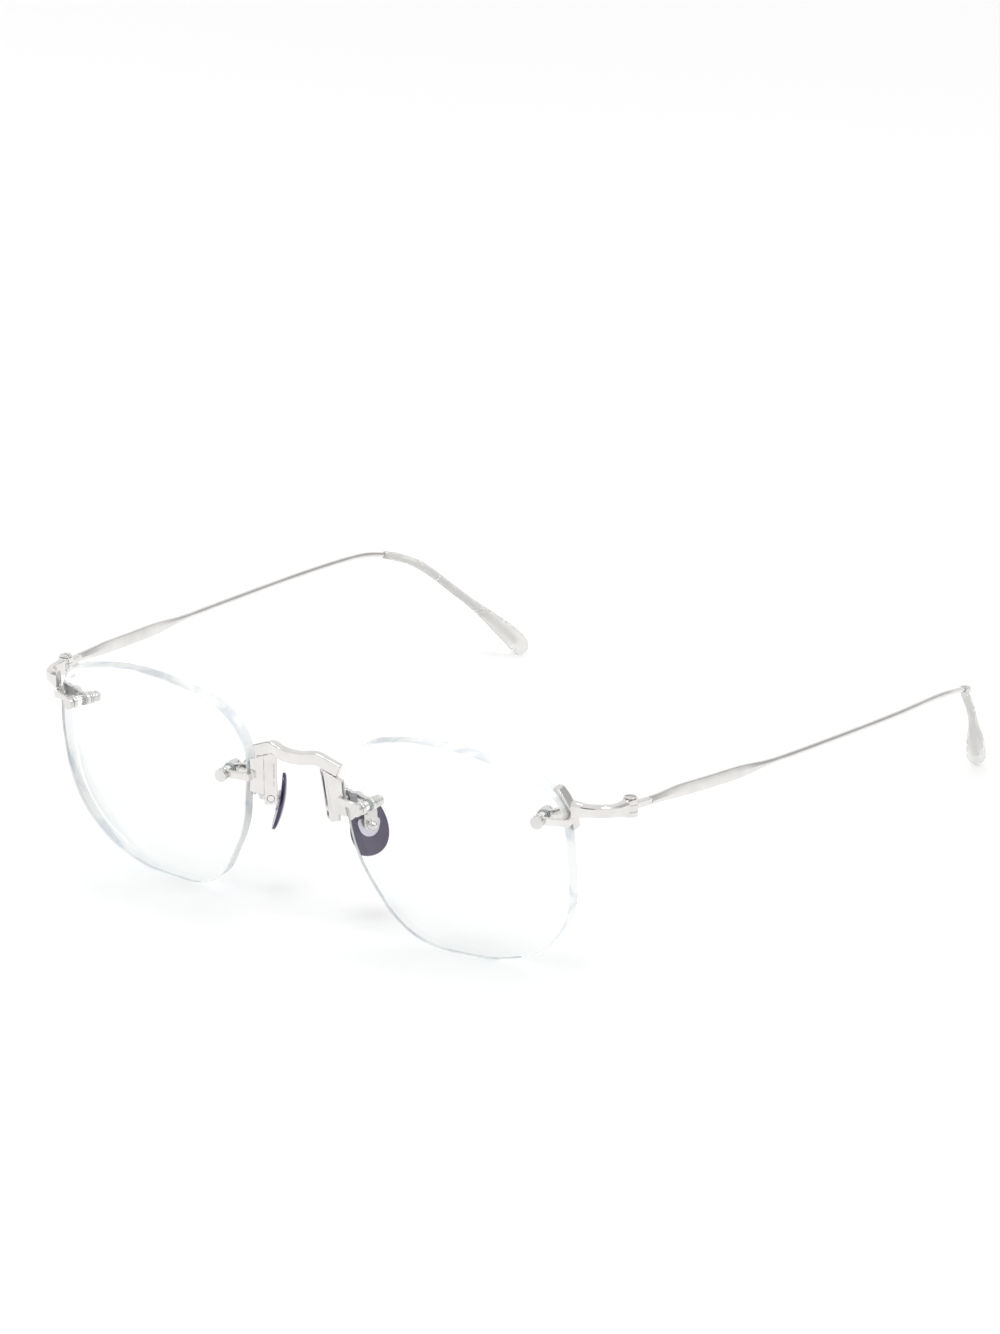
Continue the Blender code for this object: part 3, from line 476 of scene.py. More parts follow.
def hole_frame(hole):
    """Frame of a screw: on the lens's front face at the hole, Z along the face's normal."""
    out, up = hole
    depth = math.sqrt(LENS_CURVE**2 - out**2 - up**2)
    normal = Vector((out, up, depth)) / LENS_CURVE
    x = Vector((0.0, 1.0, 0.0)).cross(normal).normalized()
    return lens_frame() @ frame_of((out, up, depth - LENS_CURVE), x, normal.cross(x), normal)


def pad_frame():
    """X along the pad's width towards the back, Y up its length, Z out of its face on the lens side."""
    x = Vector((math.sin(PAD_SPLAY), math.cos(PAD_SPLAY), 0.0))
    flat = math.cos(PAD_LEAN)
    out = Vector((flat * math.cos(PAD_SPLAY), -flat * math.sin(PAD_SPLAY), math.sin(PAD_LEAN)))
    return frame_of(PAD_CENTRE, x, out.cross(x), out)


def arm_frame():
    """The pad frame's turn about the vertical, through the post's axis where it leaves the arm."""
    x = Vector((math.sin(PAD_SPLAY), math.cos(PAD_SPLAY), 0.0))
    z = Vector((math.cos(PAD_SPLAY), -math.sin(PAD_SPLAY), 0.0))
    root = pad_frame() @ Vector((0.0, POST_UP, TAB_BACK + TAB_THICK / 2))
    return frame_of(root, x, z.cross(x), z)


def lens_surface(out, up, curve, depth):
    """Depth of a lens face at this place: a sphere about the optical axis, which leans to the nose side."""
    lean = math.asin(DECENTRE / LENS_CURVE)
    axis = Vector((-math.sin(lean), 0.0, math.cos(lean)))
    pole = Vector((0.0, 0.0, -LENS_CURVE)) + axis * (LENS_CURVE - depth)
    centre = pole - axis * curve
    return centre.z + math.sqrt(curve**2 - (out - centre.x) ** 2 - (up - centre.y) ** 2)


def lens_thickness(out, up):
    distance = math.hypot(out + DECENTRE, up)
    front = LENS_CURVE - math.sqrt(LENS_CURVE**2 - distance**2)
    back = LENS_BACK_CURVE - math.sqrt(LENS_BACK_CURVE**2 - distance**2)
    return LENS_THICK + back - front


def rounded_outline(grow=0.0, step_length=0.5 * MM):
    """The lens outline in its frame: straight sides and an arc at each corner, moved out by grow."""
    points = []
    count = len(LENS_CORNERS)
    for i, (x, y, radius) in enumerate(LENS_CORNERS):
        corner = Vector((x, y)) * MM
        before = (Vector(LENS_CORNERS[i - 1][:2]) * MM - corner).normalized()
        after = (Vector(LENS_CORNERS[(i + 1) % count][:2]) * MM - corner).normalized()
        half = before.angle(after) / 2
        centre = corner + (before + after).normalized() * radius * MM / math.sin(half)
        first = corner + before * radius * MM / math.tan(half) - centre
        last = corner + after * radius * MM / math.tan(half) - centre
        turn = first.angle_signed(last)
        steps = max(2, round(abs(turn) * first.length / step_length))
        for step in range(steps + 1):
            arm = first.copy()
            arm.rotate(Matrix.Rotation(-turn * step / steps, 2))
            points.append(centre + arm * (1 + grow / arm.length))
    return points


def even_outline(count):
    """The outline again, as this many evenly spaced points."""
    points = rounded_outline()
    lengths = [0.0]
    for a, b in zip(points, points[1:] + points[:1]):
        lengths.append(lengths[-1] + (b - a).length)
    made, j = [], 0
    for i in range(count):
        want = lengths[-1] * i / count
        while lengths[j + 1] < want:
            j += 1
        share = (want - lengths[j]) / max(lengths[j + 1] - lengths[j], 1e-9)
        made.append(points[j].lerp(points[(j + 1) % len(points)], share))
    return made


def edge_x(up, side, grow=0.0):
    """How far out the lens edge, moved out by grow, is at this height, on the side that side points to."""
    outline = rounded_outline(grow)
    for a, b in zip(outline, outline[1:] + outline[:1]):
        if (a.y - up) * (b.y - up) <= 0 and a.y != b.y and side * (a.x + b.x) > 0:
            return a.x + (b.x - a.x) * (up - a.y) / (b.y - a.y)
    raise ValueError("no edge at this height")


# --- Pieces of the left side


def lens():
    """The meniscus: two spherical faces, a ground edge with a fine safety bevel, and two drilled holes."""
    outline = even_outline(EDGE_POINTS)
    bm = bmesh.new()
    pole = Vector((0.0, 0.0))

    def ring(share, inset, curve, depth, shift):
        made = []
        for i, point in enumerate(outline):
            ahead, behind = outline[(i + 1) % len(outline)], outline[i - 1]
            normal = Vector(((ahead - behind).y, -(ahead - behind).x)).normalized()
            spot = pole.lerp(point - normal * inset, share)
            made.append(bm.verts.new((*spot, lens_surface(*spot, curve, depth) + shift)))
        return made

    def skin(a, b, slot):
        for i in range(len(a)):
            j = (i + 1) % len(a)
            bm.faces.new((a[i], a[j], b[j], b[i])).material_index = slot

    def side(curve, depth):
        rings = [ring((i + 1) / LENS_RINGS, EDGE_CHAMFER, curve, depth, 0.0) for i in range(LENS_RINGS)]
        middle = bm.verts.new((0.0, 0.0, lens_surface(0.0, 0.0, curve, depth)))
        for i in range(len(rings[0])):
            bm.faces.new((middle, rings[0][i], rings[0][(i + 1) % len(rings[0])]))
        for a, b in zip(rings, rings[1:]):
            skin(a, b, 0)
        return rings[-1]

    front = side(LENS_CURVE, 0.0)
    rear = side(LENS_BACK_CURVE, LENS_THICK)
    front_edge = ring(1.0, 0.0, LENS_CURVE, 0.0, -EDGE_CHAMFER)
    rear_edge = ring(1.0, 0.0, LENS_BACK_CURVE, LENS_THICK, EDGE_CHAMFER)
    skin(front, front_edge, 1)
    skin(front_edge, rear_edge, 1)
    skin(rear_edge, rear, 1)
    obj = place("lens", mesh_from(bm, "lens"), Matrix())
    obj.data.transform(lens_frame())
    for hole in (TEMPORAL_HOLE, NASAL_HOLE):
        drill = cylinder("drill", HOLE_RADIUS, *DRILL, hole_frame(hole))
        obj = combine(obj, drill, "DIFFERENCE")
    return obj


def stack(hole):
    """Heights along a screw, from the lens's front face: each piece's near and far face."""
    front_strap = (FACE_GAP, FACE_GAP + STRAP_THICK)
    head = (front_strap[1] + GAP, front_strap[1] + GAP + HEAD_HEIGHT)
    rear_face = -lens_thickness(*hole)
    flange = (rear_face - REAR_GAP - FLANGE_THICK, rear_face - REAR_GAP)
    rear_strap = (flange[0] - GAP - STRAP_THICK, flange[0] - GAP)
    washer = (rear_strap[0] - GAP - WASHER_THICK, rear_strap[0] - GAP)
    nut = (washer[0] - GAP - NUT_LENGTH, washer[0] - GAP)
    return {
        "front_strap": front_strap, "head": head, "flange": flange,
        "rear_strap": rear_strap, "washer": washer, "nut": nut,
    }  # fmt: skip


def lens_screw(hole):
    low, high = stack(hole)["head"]
    end = stack(hole)["nut"][0] + SHANK_IN_NUT
    neck = low + HEAD_HEIGHT * HEAD_NECK
    profile = [
        (0.0, high),
        (HEAD_RADIUS, high),
        (HEAD_RADIUS, neck),
        (HEAD_RADIUS * HEAD_NARROW, neck - HEAD_STEP),
        (HEAD_RADIUS * HEAD_NARROW, low),
        (SHANK_RADIUS, low),
        (SHANK_RADIUS, end),
        (0.0, end),
    ]
    return lathe("screw", profile, hole_frame(hole), rounding=0.10 * MM)


def lens_bushing(hole):
    low, high = stack(hole)["flange"]
    bore = SHANK_RADIUS + SLACK
    sleeve = HOLE_RADIUS - SLACK
    profile = [
        (bore, -GAP), (sleeve, -GAP), (sleeve, high),
        (FLANGE_RADIUS, high), (FLANGE_RADIUS, low), (bore, low),
    ]  # fmt: skip
    return lathe("bushing", profile, hole_frame(hole), closed=True)


def lens_washer(hole):
    low, high = stack(hole)["washer"]
    bore = SHANK_RADIUS + SLACK
    profile = [(bore, high), (WASHER_RADIUS, high), (WASHER_RADIUS, low), (bore, low)]
    return lathe("washer", profile, hole_frame(hole), closed=True, rounding=0.12 * MM)


def lens_nut(hole):
    """A domed cap nut with a collar, a groove behind it and a bead before the dome."""
    low, high = stack(hole)["nut"]
    bore = SHANK_RADIUS + SLACK
    length = high - low
    profile = [(bore, high)]
    profile += [(NUT_RADIUS * wide, high - length * along) for wide, along in NUT_TURNS]
    bead, rise = profile[-1][0], length * NUT_DOME
    for turn in range(10, 91, 10):
        angle = math.radians(turn)
        profile.append((bead * math.cos(angle), low + rise - rise * math.sin(angle)))
    profile[-1] = (0.0, low)
    inside = [(0.0, low + NUT_FLOOR), (bore, low + NUT_FLOOR), (bore, high)]
    return lathe("nut", profile + inside, hole_frame(hole), rounding=0.05 * MM)


def edge_run(low_up, high_up, side, grow):
    """The lens edge, moved out by grow, between two heights."""
    turns = [point.y for point in rounded_outline(grow) if side * point.x > 0 and low_up < point.y < high_up]
    return [(edge_x(up, side, grow), up) for up in (low_up, *sorted(turns), high_up)]


def shoe_strip(low_up, high_up, side, depth):
    """The part of a clamp that follows the lens edge between two heights."""
    inner = edge_run(low_up, high_up, side, GAP)
    outer = edge_run(low_up, high_up, side, GAP + SHOE_THICK)
    middle = inner[len(inner) // 2]
    sag = LENS_CURVE - math.sqrt(LENS_CURVE**2 - Vector(middle).length_squared)
    centre = -sag - lens_thickness(*middle) / 2
    return plate("shoe", inner + outer[::-1], centre - depth[1], centre + depth[0], lens_frame())


def strap_outline(side, reach, height, waist):
    """A round eye about the screw, and a bar out to the lens edge, narrowed at its waist."""
    half = height / 2
    if half > EYE_RADIUS * EYE_SHARE:
        start = TALL_START * reach
    else:
        start = math.sqrt(EYE_RADIUS**2 - half**2)
    turn = math.asin(min(half / EYE_RADIUS, EYE_SHARE))
    round_steps, bar_steps = 40, 8
    eye = [turn + (2 * math.pi - 2 * turn) * i / round_steps for i in range(round_steps + 1)]
    points = [(EYE_RADIUS * math.cos(t), EYE_RADIUS * math.sin(t)) for t in eye]
    run = [start + (reach - start) * i / bar_steps for i in range(bar_steps + 1)]
    low = [(x, -half * (1 - waist * math.sin(math.pi * i / bar_steps))) for i, x in enumerate(run)]
    points += low + [(x, -y) for x, y in reversed(low)]
    if side < 0:
        points = [(-x, y) for x, y in reversed(points)]
    return points


def clamp(hole, side, prongs, depth):
    """A lens clamp: shoe along the edge, back joining both faces' levels, and a strap on each face."""
    made = shoe_strip(hole[1] - prongs[0], hole[1] + prongs[1], side, depth)
    at_hole = hole_frame(hole)
    levels = stack(hole)
    edge = edge_x(hole[1], side)
    reach = abs(edge - hole[0]) + SHOE_THICK
    into_lens = lens_frame().inverted() @ at_hole
    top = (into_lens @ Vector((side * reach, 0.0, levels["front_strap"][1]))).z
    bottom = (into_lens @ Vector((side * reach, 0.0, levels["rear_strap"][0]))).z
    near, far = sorted((edge + side * SHOE_THICK / 2, edge + side * (GAP + BACK_THICK)))
    half = STRAP_HEIGHT / 2
    back = block("back", (near, hole[1] - half, bottom), (far, hole[1] + half, top), lens_frame())
    made = combine(made, back, "UNION")
    for level, height, waist in (
        ("front_strap", STRAP_HEIGHT, STRAP_WAIST),
        ("rear_strap", REAR_STRAP_HEIGHT, REAR_STRAP_WAIST),
    ):
        strap = plate("strap", strap_outline(side, reach, height, waist), *levels[level], at_hole)
        made = combine(made, strap, "UNION")
    spot = at_hole @ Matrix.Translation((side * (reach - DOME_IN), 0.0, levels["rear_strap"][0]))
    made = combine(made, dome(spot), "UNION")
    if side < 0:
        made = combine(made, arm_lug(), "UNION")
        made = combine(made, above_bridge(GAP), "DIFFERENCE")
    drill = cylinder("drill", SHANK_RADIUS + SLACK, *DRILL, at_hole)
    return blend_metal(combine(made, drill, "DIFFERENCE"))


def dome(matrix):
    """The rounded swelling on the rear strap, next to the shoe."""
    profile = [(0.0, DOME_HEIGHT)]
    rings = 12
    for step in range(1, rings + 1):
        polar = math.pi * step / rings
        profile.append((DOME_RADIUS * math.sin(polar), DOME_HEIGHT * math.cos(polar)))
    profile[-1] = (0.0, -DOME_HEIGHT)
    return lathe("dome", profile, matrix, rounding=0.0, steps=32)


def arm_lug():
    """The web that joins the nasal clamp's shoe to the pad arm's side."""
    at_arm = arm_frame()
    x, up, out = (at_arm.to_3x3().col[i] for i in range(3))
    near = ARM_DEPTH / 2 + GAP / 2
    outline = [(ARM_FACE + along * MM, near + across * MM) for along, across in LUG_OUTLINE]
    low, high = at_arm.translation.z - LUG_TOP, at_arm.translation.z - LUG_BOTTOM
    lean = Matrix(((1, 0, ARM_LEAN, 0), (0, 1, 0, 0), (0, 0, 1, 0), (0, 0, 0, 1)))
    made = plate("lug", outline, low, high, frame_of(at_arm.translation, x, out, -up), lean)
    inside_shoe = rounded_outline(GAP + SHOE_THICK / 2)
    return combine(made, plate("edge", inside_shoe, -THROUGH, THROUGH, lens_frame()), "DIFFERENCE")


def endpiece():
    """The bar from the temporal clamp to the hinge, ridged along its front, with the outer knuckles."""
    hinge = Vector((HINGE_X, HINGE_Y, 0.0))
    keys = [hinge + Vector(key) * MM for key in ENDPIECE_PATH]

    def section(share):
        root, end = 1 - share / BAR_ROOT, (share - BAR_END) / (1 - BAR_END)
        height = mix(BAR_HEIGHT, BAR_ROOT_HEIGHT, root)
        height += mix(0.0, BARREL_TOP - BARREL_BOTTOM - BAR_HEIGHT, end)
        w, h = mix(BAR_THICK, BARREL_RADIUS * 1.3, end) / 2, height / 2
        corners = [(w, h * 0.55), (w * 0.45, h), (-w, h), (-w, -h), (w, -h)]
        return softened(corners, 0.16)

    made = sweep("endpiece", smooth_path(keys, PATH_STEPS), section)
    face = edge_x(TEMPORAL_HOLE[1], 1) + GAP + BACK_THICK + GAP
    root = block("root", (face - 6 * MM, 0.0, -12 * MM), (face, 20 * MM, 6 * MM), lens_frame())
    made = combine(made, root, "DIFFERENCE")
    axis = Matrix.Translation(hinge)
    made = combine(made, cylinder("barrel", BARREL_RADIUS, BARREL_BOTTOM, BARREL_TOP, axis), "UNION")
    made = blend_metal(made)
    low, high = knuckle_span()
    slot = cylinder("slot", BARREL_RADIUS + 3 * SLACK, low - GAP, high + GAP, axis)
    made = combine(made, slot, "DIFFERENCE")
    bore = cylinder("bore", PIN_RADIUS + SLACK, BARREL_BOTTOM - MM, BARREL_TOP + MM, axis)
    return combine(made, bore, "DIFFERENCE")


def knuckle_span():
    middle = (BARREL_BOTTOM + BARREL_TOP) / 2
    return middle - KNUCKLE_HEIGHT / 2, middle + KNUCKLE_HEIGHT / 2


def hinge_screw():
    low = BARREL_TOP + GAP
    high = low + PIN_HEAD_HEIGHT
    head = [(0.0, high), (PIN_HEAD_RADIUS, high), (PIN_HEAD_RADIUS, low)]
    profile = head + [(PIN_RADIUS, low), (PIN_RADIUS, BARREL_BOTTOM), (0.0, BARREL_BOTTOM)]
    axis = Matrix.Translation((HINGE_X, HINGE_Y, 0.0))
    made = lathe("screw", profile, axis, rounding=0.12 * MM)
    half = PIN_SLOT_WIDTH / 2
    turned = axis @ Matrix.Rotation(PIN_SLOT_TURN, 4, "Z")
    slot = block("slot", (-2 * MM, -half, high - PIN_HEAD_HEIGHT / 2), (2 * MM, half, high + MM), turned)
    return combine(made, slot, "DIFFERENCE")


def temple_keys():
    hinge = Vector((HINGE_X, HINGE_Y, 0.0))
    return [hinge + Vector(key) * MM for key in TEMPLE_PATH]


def temple_knuckle():
    """The temple's share of the hinge: the middle knuckle and a short neck."""
    low, high = knuckle_span()
    axis = Matrix.Translation((HINGE_X, HINGE_Y, 0.0))
    start = Vector((HINGE_X, HINGE_Y + BARREL_RADIUS * 0.5, (low + high) / 2))
    butt, beyond = temple_keys()[:2]
    end = butt + (butt - beyond).normalized() * GAP
    path = smooth_path([start, start.lerp(end, 0.5), end], 8)
    w, h = NECK_THICK / 2, KNUCKLE_HEIGHT * 0.96 / 2
    made = sweep("knuckle", path, lambda share: softened([(w, h), (-w, h), (-w, -h), (w, -h)], 0.2))
    made = combine(made, cylinder("barrel", BARREL_RADIUS, low, high, axis), "UNION")
    made = blend_metal(made, 0.06 * MM, 3)
    bore = cylinder("bore", PIN_RADIUS + SLACK, low - MM, high + MM, axis)
    return combine(made, bore, "DIFFERENCE")


def temple_path():
    return smooth_path(temple_keys(), PATH_STEPS)


def split_path(first, last):
    path = temple_path()
    count = len(path) - 1
    return path[round(first * count) : round(last * count) + 1]


def temple():
    """A ridged blade behind the hinge that thins to a round wire, which runs on inside the tip."""
    path = split_path(0.0, WIRE_END)

    def section(share):
        along = (path[round(share * (len(path) - 1))] - path[0]).length
        rise = mix(BLADE_ROOT, 1.0, along / BLADE_RISE)
        fall = 1 - mix(0.0, 1.0, (along - BLADE_FALL) / (BLADE_END - BLADE_FALL))
        h = mix(WIRE_RADIUS, BLADE_HEIGHT / 2, rise * fall)
        w = mix(WIRE_RADIUS, BLADE_THICK / 2, fall)
        half = [(w, -h * 0.25), (w * 0.42, h), (-w * 0.42, h)]
        blade = softened(half + [(-w, -h * 0.25), (-w * 0.45, -h), (w * 0.45, -h)], 0.14)
        turns = [math.atan2(y / h, x / w) for x, y in blade]
        return [
            (mix(w * math.cos(t), x, fall), mix(h * math.sin(t), y, fall))
            for (x, y), t in zip(blade, turns)
        ]

    return sweep("temple", path, section)


def temple_tip():
    """A clear sleeve over the end of the wire, round the bend, that swells to a rounded bulb."""
    path = split_path(TIP_START, 1.0)
    way = (path[-1] - path[-2]).normalized()
    bulb_end = path[-1].copy()
    for step in range(1, BULB_RINGS + 1):
        path.append(bulb_end + way * BULB_RADIUS * math.sin(math.radians(89.0) * step / BULB_RINGS))
    lengths = [(point - bulb_end).length for point in path]
    start = path[0].copy()

    def section(share):
        index = round(share * (len(path) - 1))
        if index > len(path) - BULB_RINGS - 1:
            radius = math.sqrt(max(BULB_RADIUS**2 - lengths[index] ** 2, 0.0))
        else:
            radius = mix(BULB_RADIUS, SLEEVE_RADIUS, lengths[index] / BULB_TAPER)
        mouth = (path[index] - start).length
        radius -= MOUTH_ROUND[0] * max(0.0, 1 - mouth / MOUTH_ROUND[1]) ** 2
        return oval(radius, radius)

    made = sweep("tip", path, section)
    wire = split_path(TIP_START - SOCKET_LEAD, WIRE_END)
    wire[-1] = wire[-1] + (wire[-1] - wire[-2]).normalized() * GAP * 2
    radius = WIRE_RADIUS + SLACK
    return combine(made, sweep("socket", wire, lambda share: oval(radius, radius, 24)), "DIFFERENCE")


def pad():
    """A thin bowed plate, egg-shaped in outline, with full round edges."""
    bm = bmesh.new()
    bmesh.ops.create_uvsphere(bm, u_segments=96, v_segments=48, radius=1.0)
    for vert in bm.verts:
        x, y, z = vert.co
        along = y * PAD_LENGTH / 2
        across = x * PAD_WIDTH / 2 * (1 - PAD_NARROWING * y)
        bow = (along**2 + across**2) / (2 * PAD_BOW) - PAD_THICK * PAD_SINK
        vert.co = (across, along, math.copysign(abs(z) ** PAD_SQUARE, z) * PAD_THICK / 2 + bow)
    obj = place("pad", mesh_from(bm, "pad"), Matrix())
    obj.data.transform(pad_frame())
    return obj


def pad_plate():
    """The small plate on the pad's lens side, with the stud that the post's tab turns on."""
    at_pad = pad_frame()
    outline = softened([(x * MM, STUD_UP + y * MM) for x, y in PLATE_OUTLINE], 0.3)
    low = PAD_THICK / 2 - PAD_THICK * PAD_SINK + 3 * GAP
    made = plate("plate", outline, low, low + PLATE_THICK, at_pad)
    stud = at_pad @ Matrix.Translation((0.0, STUD_UP, 0.0))
    top = TAB_BACK + TAB_THICK + BALL_CLEAR
    made = combine(made, cylinder("stud", STUD_RADIUS, low + PLATE_THICK / 2, top, stud), "UNION")
    return blend_metal(made, 0.055 * MM, 3)


def pad_ball():
    """The polished ball that closes the stud."""
    centre = TAB_BACK + TAB_THICK + BALL_CLEAR + GAP + BALL_RADIUS * BALL_CUT
    at_ball = pad_frame() @ Matrix.Translation((0.0, STUD_UP, centre))
    profile = [(0.0, BALL_RADIUS)]
    rings = 24
    for step in range(1, rings + 1):
        polar = math.acos(-BALL_CUT) * step / rings
        profile.append((BALL_RADIUS * math.sin(polar), BALL_RADIUS * math.cos(polar)))
    profile.append((0.0, -BALL_RADIUS * BALL_CUT))
    return lathe("ball", profile, at_ball, rounding=0.02 * MM)


def pad_post():
    """The round post riveted into the pad arm, and the tab at its end with the eye for the stud."""
    at_pad = pad_frame()
    width, steps = TAB_EYE_RADIUS, 24
    eye = [math.pi + math.pi * i / steps for i in range(steps + 1)]
    outline = [(width * math.cos(t), STUD_UP + width * math.sin(t)) for t in eye]
    outline += [(width, POST_UP + POST_RADIUS), (-width, POST_UP + POST_RADIUS)]
    made = plate("tab", outline, TAB_BACK, TAB_BACK + TAB_THICK, at_pad)
    axis = arm_frame() @ Matrix.Rotation(math.pi / 2, 4, "Y")
    reach = (arm_frame().inverted() @ at_pad @ Vector((-width, POST_UP, TAB_BACK))).x
    post = cylinder("post", POST_RADIUS, ARM_FACE, reach + width / 2, axis)
    made = combine(made, post, "UNION")
    stud = at_pad @ Matrix.Translation((0.0, STUD_UP, 0.0))
    drill = cylinder("drill", STUD_RADIUS + STUD_PLAY, 0.0, 5 * MM, stud)
    return blend_metal(combine(made, drill, "DIFFERENCE"), 0.06 * MM, 4)


def pad_arm():
    """The upright bar under the bridge's end, drilled for the post."""
    at_arm = arm_frame()
    height = at_arm.translation.z
    low = (ARM_FACE, ARM_BOTTOM - height, -ARM_DEPTH / 2)
    high = (ARM_FACE + ARM_WIDTH, ARM_TOP - height, ARM_DEPTH / 2)
    lean = Matrix(((1, -ARM_LEAN, 0, 0), (0, 1, 0, 0), (0, 0, 1, 0), (0, 0, 0, 1)))
    made = combine(block("arm", low, high, at_arm, lean), above_bridge(0.0), "DIFFERENCE")
    low = (ARM_FACE - MM, GROOVE_SPAN[0], GROOVE_PLACE[0])
    high = (ARM_FACE + GROOVE_DEPTH, GROOVE_SPAN[1], GROOVE_PLACE[1])
    made = combine(made, block("groove", low, high, at_arm, lean), "DIFFERENCE")
    axis = at_arm @ Matrix.Rotation(math.pi / 2, 4, "Y")
    drill = cylinder("drill", POST_RADIUS + SLACK, -12 * MM, 0.0, axis)
    return blend_metal(combine(made, drill, "DIFFERENCE"))


def bridge_path():
    half = [Vector((x * MM, HINGE_Y + y * MM, z * MM)) for x, y, z in BRIDGE_PATH]
    other = [Vector((-point.x, point.y, point.z)) for point in half[:0:-1]]
    return smooth_path(other + half, PATH_STEPS)


def bridge():
    """The bar between the lenses, a shallow saddle with a peak over each pad arm."""
    w, h = BRIDGE_DEPTH / 2, BRIDGE_HEIGHT / 2
    corners = softened([(w, h), (-w, h), (-w, -h), (w, -h)], 0.2)
    return blend_metal(sweep("bridge", bridge_path(), lambda share: corners))


def above_bridge(gap):
    """The room above the bridge's underside, drawn out at both ends, for cutting what stands under it."""
    path = bridge_path()
    path.insert(0, path[0] + (path[0] - path[1]).normalized() * ABOVE_BRIDGE)
    path.append(path[-1] + (path[-1] - path[-2]).normalized() * ABOVE_BRIDGE)
    low, high = -BRIDGE_HEIGHT / 2 - gap, ABOVE_BRIDGE
    outline = [(high, low), (high, high), (-high, high), (-high, low)]
    return sweep("above", path, lambda share: outline)


# --- Materials


def nodes_of(name):
    made = bpy.data.materials.new(name)
    made.use_nodes = True
    tree = made.node_tree
    return made, tree, tree.nodes["Principled BSDF"]


def add(tree, kind, **settings):
    node = tree.nodes.new(kind)
    for key, value in settings.items():
        if key in node.inputs:
            node.inputs[key].default_value = value
        else:
            setattr(node, key.lower().replace(" ", "_"), value)
    return node


def on_piece(tree):
    return add(tree, "ShaderNodeTexCoord").outputs["Object"]


def noise(tree, where, scale, detail, roughness=0.5, distortion=0.0):
    made = add(
        tree, "ShaderNodeTexNoise", Scale=scale, Detail=detail, Roughness=roughness, Distortion=distortion
    )
    tree.links.new(where, made.inputs["Vector"])
    return made.outputs["Fac"]


def colour_ramp(tree, source, low, high, span=(0.0, 1.0)):
    """A colour that goes from low to high while the source crosses the span."""
    made = add(tree, "ShaderNodeValToRGB")
    for element, position, colour in zip(made.color_ramp.elements, span, (low, high)):
        element.position = position
        element.color = (*colour, 1.0)
    tree.links.new(source, made.inputs["Fac"])
    return made.outputs["Color"]


def number_ramp(tree, source, low, high, span=(0.0, 1.0)):
    """A number that goes from low to high while the source crosses the span."""
    made = add(tree, "ShaderNodeMapRange")
    for name, value in zip(("From Min", "From Max", "To Min", "To Max"), (*span, low, high)):
        made.inputs[name].default_value = value
    tree.links.new(source, made.inputs["Value"])
    return made.outputs["Result"]


def relief(tree, shader, source, strength, distance):
    made = add(tree, "ShaderNodeBump", Strength=strength, Distance=distance)
    tree.links.new(source, made.inputs["Height"])
    tree.links.new(made.outputs["Normal"], shader.inputs["Normal"])


def metal(name, colour, roughness, grain=1.0, turned=False):
    """Polished metal: faint tone and gloss changes, and fine polishing marks along or around the piece."""
    made, tree, shader = nodes_of(name)
    link = tree.links.new
    shader.inputs["Metallic"].default_value = 1.0
    where = on_piece(tree)
    if turned:
        ring = add(tree, "ShaderNodeAttribute")
        ring.attribute_name = "turned"
        turning = add(tree, "ShaderNodeTexNoise", Scale=26.0, Detail=4.0)
        turning.noise_dimensions = "1D"
        link(ring.outputs["Fac"], turning.inputs["W"])
        marks = turning.outputs["Fac"]
    else:
        stretch = add(tree, "ShaderNodeMapping")
        stretch.inputs["Scale"].default_value = (1.0, 0.22, 1.0)
        link(where, stretch.inputs["Vector"])
        marks = noise(tree, stretch.outputs["Vector"], 9000.0, 5.0, 0.6)
    cloud = noise(tree, where, 260.0, 4.0, 0.55)
    link(number_ramp(tree, cloud, roughness * 0.72, roughness * 1.35), shader.inputs["Roughness"])
    dull, bright = [c * 0.93 for c in colour], [min(c * 1.05, 1.0) for c in colour]
    link(colour_ramp(tree, cloud, dull, bright, (0.3, 0.7)), shader.inputs["Base Color"])
    relief(tree, shader, marks, 0.05 * grain, 0.02 * MM)
    return made


def clear_through(tree, shader, tint):
    """Lets lamps shine through the piece, so that it throws only a faint shadow."""
    link = tree.links.new
    ray = add(tree, "ShaderNodeLightPath")
    through = add(tree, "ShaderNodeBsdfTransparent")
    through.inputs["Color"].default_value = (*tint, 1.0)
    both = add(tree, "ShaderNodeMixShader")
    link(ray.outputs["Is Shadow Ray"], both.inputs["Fac"])
    link(shader.outputs["BSDF"], both.inputs[1])
    link(through.outputs["BSDF"], both.inputs[2])
    link(both.outputs["Shader"], tree.nodes["Material Output"].inputs["Surface"])


def lens_glass():
    """Clear lens with a thin coating that takes most of the reflection away, and the faintest smears."""
    made, tree, shader = nodes_of("lens_glass")
    shader.inputs["Base Color"].default_value = (0.985, 0.995, 0.992, 1.0)
    shader.inputs["Transmission Weight"].default_value = 1.0
    shader.inputs["IOR"].default_value = 1.5
    shader.inputs["Specular IOR Level"].default_value = 0.2
    shader.inputs["Thin Film Thickness"].default_value = 120.0
    shader.inputs["Thin Film IOR"].default_value = 1.38
    smear = noise(tree, on_piece(tree), 45.0, 5.0, 0.6, 0.4)
    tree.links.new(number_ramp(tree, smear, 0.0, 0.02, (0.5, 0.8)), shader.inputs["Roughness"])
    clear_through(tree, shader, (0.96, 0.975, 0.975))
    return made


def cloudy(name, transmission, waves, tones, gloss, span=(0.0, 1.0)):
    """A pale piece that light partly passes through, with slow waves in its tone and gloss."""
    made, tree, shader = nodes_of(name)
    shader.inputs["Transmission Weight"].default_value = transmission
    wave = noise(tree, on_piece(tree), *waves)
    tree.links.new(colour_ramp(tree, wave, *tones, span), shader.inputs["Base Color"])
    tree.links.new(number_ramp(tree, wave, *gloss), shader.inputs["Roughness"])
    return made, tree, shader, wave


